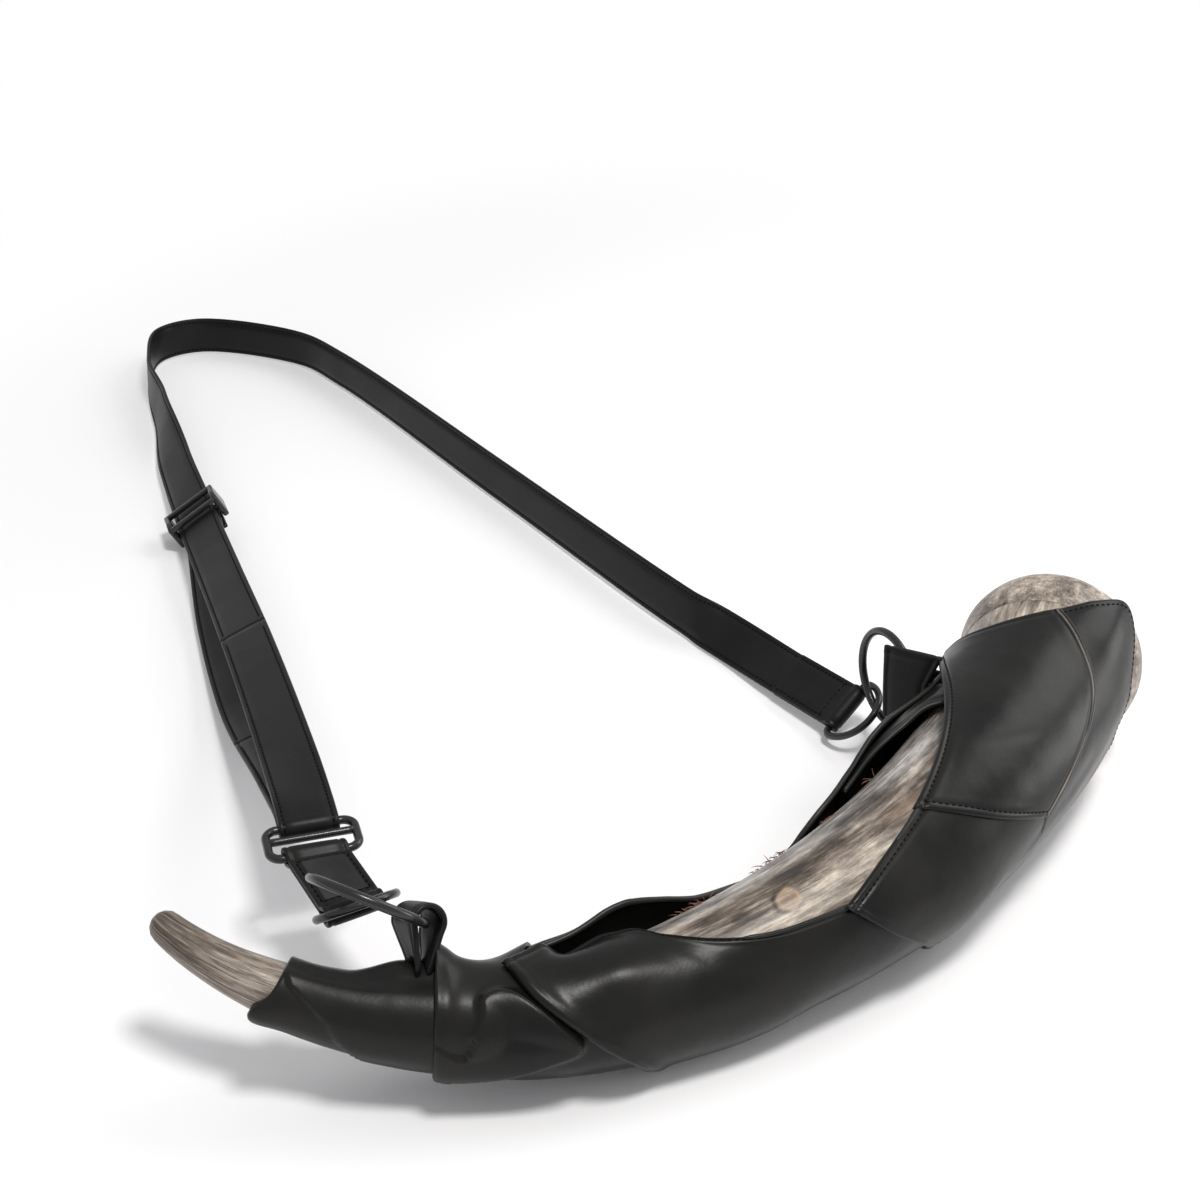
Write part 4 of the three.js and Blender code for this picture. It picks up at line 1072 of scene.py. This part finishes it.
def d_outline():
    x, y = D_WIDTH / 2 - D_CORNER, D_DEPTH / 2 - D_CORNER
    line = arc_points(x, y, D_CORNER, D_CORNER, 90, 0)
    line += arc_points(0, y, D_WIDTH / 2, D_DEPTH - D_CORNER, 0, -180, 60)[1:]
    line += arc_points(-x, y, D_CORNER, D_CORNER, 180, 90)[1:]
    return evenly(line, 140)


def oval_outline():
    x, y, c = OVAL_WIDTH / 2 - OVAL_CORNER, OVAL_DEPTH / 2 - OVAL_CORNER, OVAL_CORNER
    line = arc_points(x, y, c, c, 90, 0) + arc_points(x, -y, c, c, 0, -90)
    line += arc_points(-x, -y, c, c, -90, -180) + arc_points(-x, y, c, c, 180, 90)
    return evenly(line, 140)


def in_plane(outline, across, pull, middle):
    return middle + outline[:, :1] * across + outline[:, 1:] * pull


LEFT_ACROSS = direction(29.8, 0)
LEFT_PULL = square(direction(99, -38.4), LEFT_ACROSS)
LEFT_D = LEFT_C + LEFT_U * RING_R - LEFT_ACROSS * 3.5
LEFT_BAR = LEFT_D + LEFT_PULL * D_DEPTH / 2
RIGHT_ACROSS = direction(38, 34)
RIGHT_PULL = square(direction(128, -4), RIGHT_ACROSS)
RIGHT_HANG = turned_about(RIGHT_PULL, RIGHT_ACROSS, -15)
HANG = math.radians(-55)
RIGHT_D = RIGHT_C + RIGHT_M * RING_R * math.cos(HANG) + Z * RING_R * math.sin(HANG) - RIGHT_ACROSS * 8
RIGHT_BAR = RIGHT_D + RIGHT_HANG * D_DEPTH / 2
for side, body, across, pull, middle in (
    ("left", "left_link", LEFT_ACROSS, LEFT_PULL, LEFT_D),
    ("right", "right_link", RIGHT_ACROSS, RIGHT_HANG, RIGHT_D),
):
    path = in_plane(d_outline(), across, pull, middle)
    wire(side + "_d_ring_wire", side + "_d_ring", body, path, D_WIRE / 2, np.cross(across, pull))

CONNECTOR_PULL = square(direction(119.8, 2), LEFT_ACROSS)
CONNECTOR_UP = np.cross(LEFT_ACROSS, CONNECTOR_PULL)
OVAL_ACROSS = turned_about(LEFT_ACROSS, CONNECTOR_UP, -CONNECTOR_SKEW)
OVAL_PULL = turned_about(CONNECTOR_PULL, CONNECTOR_UP, -CONNECTOR_SKEW)
OVAL_UP = np.cross(OVAL_ACROSS, OVAL_PULL)
OVAL_LOWER = LEFT_BAR + CONNECTOR_PULL * CONNECTOR_LENGTH
OVAL_MIDDLE = OVAL_LOWER + OVAL_PULL * OVAL_DEPTH / 2
OVAL_UPPER = OVAL_LOWER + OVAL_PULL * OVAL_DEPTH
bar = np.linspace(-OVAL_WIDTH / 2, OVAL_WIDTH / 2, 12)[:, None] * OVAL_ACROSS
bar = OVAL_MIDDLE + OVAL_PULL * OVAL_BAR_SHIFT + bar
wire(
    "oval_connector_wire", "oval_connector", "left_link",
    in_plane(oval_outline(), OVAL_ACROSS, OVAL_PULL, OVAL_MIDDLE), OVAL_WIRE / 2, OVAL_UP, (bar, OVAL_WIRE * 0.45),
)


# Doubled straps folded round bars, as closed bands sewn together along their edges
def folded_band(name, node, body, length, radii, across, pull, at, skew=0.0, rough=False):
    up = np.cross(across, pull)
    closed = len(radii) > 1
    half = STRAP_LEATHER / 2
    eyes = [r + BAR_CLEARANCE + half for r in radii]
    stations = np.linspace(0.02, 0.98, 40) * length

    def bend(middle, eye, start, stop):
        a = np.linspace(start, stop, 18) * math.pi
        return np.stack([middle + eye * np.cos(a), eye * np.sin(a)], 1)

    def leg(sign, x):
        y = half + (eyes[0] - half) * (1 - smooth(x / EYE_FLARE))
        if closed:
            y += (eyes[1] - half) * (1 - smooth((length - x) / EYE_FLARE))
        return np.stack([x, sign * y], 1)

    line = [bend(0, eyes[0], 0.5, 1.5), leg(-1, stations)]
    if closed:
        line += [bend(length, eyes[1], -0.5, 0.5), leg(1, stations[::-1])]
    else:
        line.insert(0, leg(1, stations[::-1]))
    line = np.concatenate(line)
    way = unit(np.roll(line, -1, 0) - np.roll(line, 1, 0)) if closed else unit(np.gradient(line, axis=0))
    w, over = strip_profile(STRAP_WIDTH, STRAP_LEATHER * 0.96).T
    lean = math.tan(math.radians(skew))
    x = line[:, :1] + over * way[:, 1:] - w * lean * line[:, :1] / length
    y = line[:, 1:] - over * way[:, :1]
    sections = at + x[..., None] * pull + y[..., None] * up + w[:, None] * across
    piece = Piece()
    grain = np.stack(np.broadcast_arrays(np.arange(len(line))[:, None] * 1.2, w, over), -1)
    loft(piece, sections, closed, grain=grain)
    for face in (-1, 1) if rough else ():
        x = np.linspace(0.17, 0.83, 30) * length
        middle = at + x[:, None] * pull + face * (half + STRAP_LEATHER / 2) * up
        slant = across - (lean * x / length)[:, None] * pull
        strip(piece, middle, slant, np.tile(face * up, (30, 1)), STRAP_WIDTH - 6.0, 0.5, slot=2, groove=0.0)
    for face in (-1, 1):
        for side in (-1, 1):
            w = side * (STRAP_WIDTH / 2 - STITCH_EDGE)
            x = np.linspace(0.16, 0.84 if closed else 0.97, 30) * length
            y = face * (half + STRAP_LEATHER / 2 - 0.1)
            path = at + (x - w * lean * x / length)[:, None] * pull + y * up + w * across
            stitches(piece, path, np.tile(face * up, (30, 1)))
        for end in ([0.16, 0.84] if closed else [0.2]):
            w = np.linspace(STITCH_EDGE - STRAP_WIDTH / 2, STRAP_WIDTH / 2 - STITCH_EDGE, 20)
            x = end * length
            y = face * (half + STRAP_LEATHER / 2 - 0.05)
            path = at + (x - w * lean * end)[:, None] * pull + y * up + w[:, None] * across
            stitches(piece, path, np.tile(face * up, (20, 1)))
    return piece.make(name, [STRAP, THREAD, ROUGH_FACE], body, node, "strap_leather")


folded_band(
    "connector_leather", "connector_strap", "left_link", CONNECTOR_LENGTH, [D_WIRE / 2, OVAL_WIRE / 2],
    LEFT_ACROSS, CONNECTOR_PULL, LEFT_BAR, CONNECTOR_SKEW, True,
)
right_end = folded_band(
    "strap_right_end_leather", "strap_right_end", None, RIGHT_FOLD, [D_WIRE / 2],
    RIGHT_ACROSS, RIGHT_PULL, RIGHT_BAR,
)
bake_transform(right_end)


# The long strap: a centripetal curve through laid knots
def lay(x, y, clear, lean):
    rise = clear + STRAP_WIDTH / 2 * math.sin(math.radians(lean)) + STRAP_LEATHER / 2
    return vec(x, y, rise), lean


class Route:
    def __init__(self, knots):
        self.points = np.array([k[0] for k in knots])
        self.leans = np.array([k[1] for k in knots], float)

    def point(self, k):
        p, last = self.points, len(self.points) - 1
        x = min(max(k, 0.0), 1.0) * last
        i = min(int(x), last - 1)
        w = x - i
        p1, p2 = p[i], p[i + 1]
        p0 = p[i - 1] if i > 0 else 2 * p[0] - p[1]
        p3 = p[i + 2] if i + 2 <= last else 2 * p[last] - p[last - 1]
        d0, d1, d2 = (max(1e-4, float(np.dot(b - a, b - a)) ** 0.25) for a, b in ((p0, p1), (p1, p2), (p2, p3)))
        t1 = ((p1 - p0) / d0 - (p2 - p0) / (d0 + d1) + (p2 - p1) / d1) * d1
        t2 = ((p2 - p1) / d1 - (p3 - p1) / (d1 + d2) + (p3 - p2) / d2) * d1
        return p1 + t1 * w + (3 * p2 - 3 * p1 - 2 * t1 - t2) * w**2 + (2 * p1 - 2 * p2 + t1 + t2) * w**3

    def row(self, k):
        x = k * (len(self.points) - 1)
        i = min(len(self.points) - 2, int(x))
        lean = math.radians(self.leans[i] + (self.leans[i + 1] - self.leans[i]) * float(smooth(x - i)))
        along = unit(self.point(min(1, k + 1e-4)) - self.point(max(0, k - 1e-4)))
        side = unit(vec(along[1], -along[0], 0))
        return self.point(k), side * math.cos(lean) + Z * math.sin(lean), along

    def stretch(self, start, stop, count):
        return [self.row(k)[:2] for k in np.linspace(start, stop, count)]


def turn_round(bar_at, wire_size, across, pull):
    r = wire_size / 2 + BAR_CLEARANCE + STRAP_LEATHER / 2
    up = np.cross(across, pull)
    a = np.linspace(0, math.pi, 25)
    return [(bar_at + up * r * math.cos(t) - pull * r * math.sin(t), across) for t in a]


def strap_piece(name, rows, node):
    points = np.array([r[0] for r in rows])
    wide = np.array([r[1] for r in rows])
    along = unit(np.gradient(points, axis=0))
    across = unit(wide - (wide * along).sum(1, keepdims=True) * along)
    normal = unit(np.cross(along, across))
    piece = Piece()
    strip(piece, points, across, normal, STRAP_WIDTH, STRAP_LEATHER)
    for face in (-1, 1):
        for side in (-1, 1):
            edge = side * (STRAP_WIDTH / 2 - STITCH_EDGE)
            path = points + across * edge + normal * face * (STRAP_LEATHER / 2 - 0.12)
            stitches(piece, path[2:-2], normal[2:-2] * face)
    return piece.make(name, [STRAP, THREAD], None, node, "strap_leather")


TURN = turn_round(OVAL_UPPER, OVAL_WIRE, OVAL_ACROSS, OVAL_PULL)
LEFT_LEAN = math.degrees(math.asin(OVAL_ACROSS[2]))
RIGHT_LEAN = 180 - math.degrees(math.asin(RIGHT_ACROSS[2]))
APPROACH = RIGHT_BAR + RIGHT_PULL * 2.2 * RIGHT_FOLD
UPPER = Route(
    [
        (TURN[0][0], LEFT_LEAN),
        (TURN[0][0] + OVAL_PULL * STRAP_WIDTH / 2, LEFT_LEAN),
        lay(-131, 107, 38, 15),
        lay(-155, 181, 29, 20),
        lay(-181, 258, 17, 29),
        lay(-207, 333, 8.5, 31),
        lay(-229, 396, 4, 42),
        lay(-249, 460, 1, 70),
        lay(-264, 506, 0.3, 86),
        lay(-266, 546, 0.3, 90),
        lay(-246, 560, 0.3, 90),
        lay(-189, 542, 0.3, 90),
        lay(-161, 512, 0.3, 94),
        lay(-68, 376, 0.3, 101),
        lay(17, 251, 0.3, 106),
        lay(APPROACH[0], APPROACH[1], JOIN_GAP, RIGHT_LEAN - 14),
        (RIGHT_BAR + RIGHT_PULL * (RIGHT_FOLD + JOIN_GAP), RIGHT_LEAN),
    ]
)
KNOT = 1 / (len(UPPER.points) - 1)
SEAM_AT, SEAM_GAP = 3.25 * KNOT, 0.0005 * KNOT
run_rows = UPPER.stretch(SEAM_AT + SEAM_GAP, 1, 420)
run_rows.append((RIGHT_BAR + RIGHT_PULL * (RIGHT_FOLD - RUN_TUCK), run_rows[-1][1]))
strap_run = strap_piece("strap_run_leather", run_rows, "strap_run")
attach(strap_run, "flask")

SLIDER_C, slider_wide, SLIDER_ALONG = UPPER.row(5 * KNOT)
SLIDER_ACROSS = square(slider_wide, SLIDER_ALONG)
SLIDER_UP = np.cross(SLIDER_ACROSS, SLIDER_ALONG)
RAIL_X = STRAP_WIDTH / 2 + SLIDER_CLEARANCE + SLIDER_BAR / 2
HIGH_BAR = STRAP_LEATHER / 2 + SLIDER_CLEARANCE + SLIDER_BAR / 2
LOW_BAR = -HIGH_BAR - STRAP_LEATHER - BAR_CLEARANCE
SLIDER_FOOT = SLIDER_C + SLIDER_UP * LOW_BAR
FOLD = turn_round(SLIDER_FOOT, SLIDER_BAR, SLIDER_ACROSS, -SLIDER_ALONG)[::-1]
FOLD_LEAN = math.degrees(math.asin(SLIDER_ACROSS[2]))
LOWER = Route(
    [
        (TURN[-1][0], LEFT_LEAN),
        (TURN[-1][0] + OVAL_PULL * STRAP_WIDTH / 2, LEFT_LEAN),
        lay(-131.5, 103, 28, 13),
        lay(-158, 173, 9, 16),
        lay(-182, 248, 3.5, 25),
        (FOLD[0][0] - SLIDER_ALONG * SLIDER_LENGTH, FOLD_LEAN),
        (FOLD[0][0], FOLD_LEAN),
    ]
)
LOWER_KNOT = 1 / (len(LOWER.points) - 1)
LOWER_SEAM = 2.6 * LOWER_KNOT
loop_rows = UPPER.stretch(SEAM_AT - SEAM_GAP, 0, 110) + TURN[1:-1] + LOWER.stretch(0, LOWER_SEAM - SEAM_GAP, 90)
strap_loop = strap_piece("strap_loop_leather", loop_rows, "strap_loop")
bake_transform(strap_loop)
tail_end = (FOLD[-1][0] - SLIDER_ALONG * SLIDER_TAIL, SLIDER_ACROSS)
tail = [(FOLD[-1][0] + (tail_end[0] - FOLD[-1][0]) * f, SLIDER_ACROSS) for f in np.linspace(0.1, 1, 10)]
return_rows = LOWER.stretch(LOWER_SEAM + SEAM_GAP, 1, 120) + FOLD[1:] + tail
strap_return = strap_piece("strap_return_leather", return_rows, "strap_return")
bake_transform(strap_return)


# Slider with rounded bars
def rounded_bar(piece, start, stop, size_a, size_b, axis_a):
    along = unit(stop - start)
    axis_b = np.cross(along, axis_a)
    profile = []
    r = 0.3 * min(size_a, size_b)
    for cx, cy, a0 in ((1, 1, 0), (-1, 1, 90), (-1, -1, 180), (1, -1, 270)):
        for a in np.radians(np.linspace(a0, a0 + 90, 5)):
            profile.append((cx * (size_a / 2 - r) + r * math.cos(a), cy * (size_b / 2 - r) + r * math.sin(a)))
    profile = np.array(profile)
    rows = []
    length = np.linalg.norm(stop - start)
    for d, f in ((0, 0.7), (0.25, 0.9), (0.6, 1.0), (length - 0.6, 1.0), (length - 0.25, 0.9), (length, 0.7)):
        rows.append(start + along * d + f * (profile[:, :1] * axis_a + profile[:, 1:] * axis_b))
    loft(piece, rows)


slider = Piece()
span = SLIDER_ACROSS * RAIL_X
thin = SLIDER_BAR * 0.7
rail_height = HIGH_BAR - LOW_BAR + SLIDER_BAR
rail_mid = (HIGH_BAR + LOW_BAR) / 2
for side in (-1, 1):
    middle = SLIDER_C + SLIDER_ACROSS * side * RAIL_X + SLIDER_UP * rail_mid
    reach = SLIDER_ALONG * SLIDER_LENGTH / 2
    rounded_bar(slider, middle - reach, middle + reach, SLIDER_BAR, rail_height, SLIDER_ACROSS)
    end = SLIDER_C + SLIDER_ALONG * side * (SLIDER_LENGTH - SLIDER_BAR) / 2 + SLIDER_UP * HIGH_BAR
    rounded_bar(slider, end - span, end + span, SLIDER_BAR, SLIDER_BAR, SLIDER_ALONG)
rounded_bar(slider, SLIDER_FOOT - span, SLIDER_FOOT + span, thin, thin, SLIDER_ALONG)
slider.make("slider_metal", [METAL], "slider", "strap_slider", "black_metal")

# Loose fibres along the far edge of the window, in tufts of (station, angle, count)
TUFTS = [(181, -42, 12), (176, -40, 6), (214, -45, 12), (206, -45, 3), (240, -49, 7), (266, -52, 4)]
fibres = Piece()
for station, angle, count in TUFTS:
    for i in range(count):
        s = station + RNG.normal(0, 2.6)
        a = angle + RNG.normal(0, 2)
        base = around(np.array([s]), np.array([a]), radius_at(np.array([s])) + 0.05)[0]
        c, t, u, n = (x[0] for x in frames(np.array([s])))
        out = unit(base - c)
        lean = unit(out * RNG.uniform(0.15, 0.8) + t * RNG.normal(0, 1) + np.cross(t, out) * RNG.normal(0, 0.8))
        bend = np.cross(lean, out) * RNG.normal(0, 0.8) - out * 0.4
        reach = RNG.uniform(1.5, 4.2)
        f = np.linspace(0, 1, 6)[:, None]
        path = base + lean * reach * f + bend * f * f * reach * 0.5
        tube(fibres, path, np.linspace(0.22, 0.06, 6), 5)
fibres.make("horn_fibres", [FIBRE], "flask", None, "horn")

# Floor, light and camera
scene = bpy.context.scene
scene.view_settings.view_transform = "Standard"


def floor():
    mesh = bpy.data.meshes.new("floor")
    mesh.from_pydata([(-6, -6, 0), (6, -6, 0), (6, 6, 0), (-6, 6, 0)], [], [(0, 1, 2, 3)])
    obj = bpy.data.objects.new("floor", mesh)
    scene.collection.objects.link(obj)
    graph = Graph("floor_paper")
    paper = {"Base Color": (0.95, 0.945, 0.95, 1.0), "Roughness": 0.6, "Specular IOR Level": 0.1}
    graph.feed(graph.shader, paper)
    place = graph.add("NewGeometry", {})["Position"]
    oval = graph.add("Mapping", {"Vector": place, "Location": (0.0, -0.12, 0.0), "Scale": (1.0, 0.6, 0.0)})[0]
    reach = graph.add("VectorMath", {0: oval}, operation="LENGTH")["Value"]
    far = {"Value": reach, "From Min": 0.25, "From Max": 0.46}
    fade = graph.add("MapRange", far, interpolation_type="SMOOTHSTEP")["Result"]
    rays = graph.add("LightPath", {})
    seen = rays["Is Camera Ray"]
    for kind in ("Is Glossy Ray", "Is Transmission Ray"):
        seen = graph.math("MAXIMUM", seen, rays[kind])
    white = graph.add("Emission", {"Strength": 1.0})[0]
    mixed = graph.add("MixShader", {0: graph.math("MULTIPLY", seen, fade), 1: graph.shader.outputs[0], 2: white})[0]
    graph.feed(graph.out, {0: mixed})
    mesh.materials.append(graph.made)


floor()
world = bpy.data.worlds.new("studio")
world.use_nodes = True
scene.world = world
soft_light = world.node_tree.nodes["Background"]
soft_light.inputs["Color"].default_value = (0.97, 0.98, 1.0, 1.0)
soft_light.inputs["Strength"].default_value = 0.55


def lamp(name, place, aim, size, power, colour=(1, 1, 1)):
    data = bpy.data.lights.new(name, "AREA")
    data.shape = "DISK"
    data.size = size
    data.energy = power
    data.color = colour
    obj = bpy.data.objects.new(name, data)
    obj.location = place
    away = unit(vec(*place) - vec(*aim))
    side = unit(np.cross(Z, away))
    over = np.cross(away, side)
    turn = np.stack([side, over, away], 1)
    obj.rotation_euler = Matrix(turn.tolist()).to_euler()
    scene.collection.objects.link(obj)


lamp("key", (0.27, -0.26, 1.38), (0.02, 0.1, 0.0), 0.32, 12.0, (1.0, 0.985, 0.96))
lamp("side", (1.0, 0.7, 1.0), (0.0, 0.1, 0.0), 0.9, 6.0, (1.0, 0.99, 0.98))
lamp("rim", (1.2, 0.32, 0.26), (0.0, 0.1, 0.0), 0.5, 3.0, (1.0, 0.99, 0.98))

camera = bpy.data.cameras.new("camera")
camera.sensor_width = 36.0
camera.lens = 57.0
camera.clip_end = 20.0
view = bpy.data.objects.new("camera", camera)
view.location = (-0.01947, -0.44848, 0.42)
view.rotation_euler = (math.radians(60), 0, 0)
scene.collection.objects.link(view)
scene.camera = view
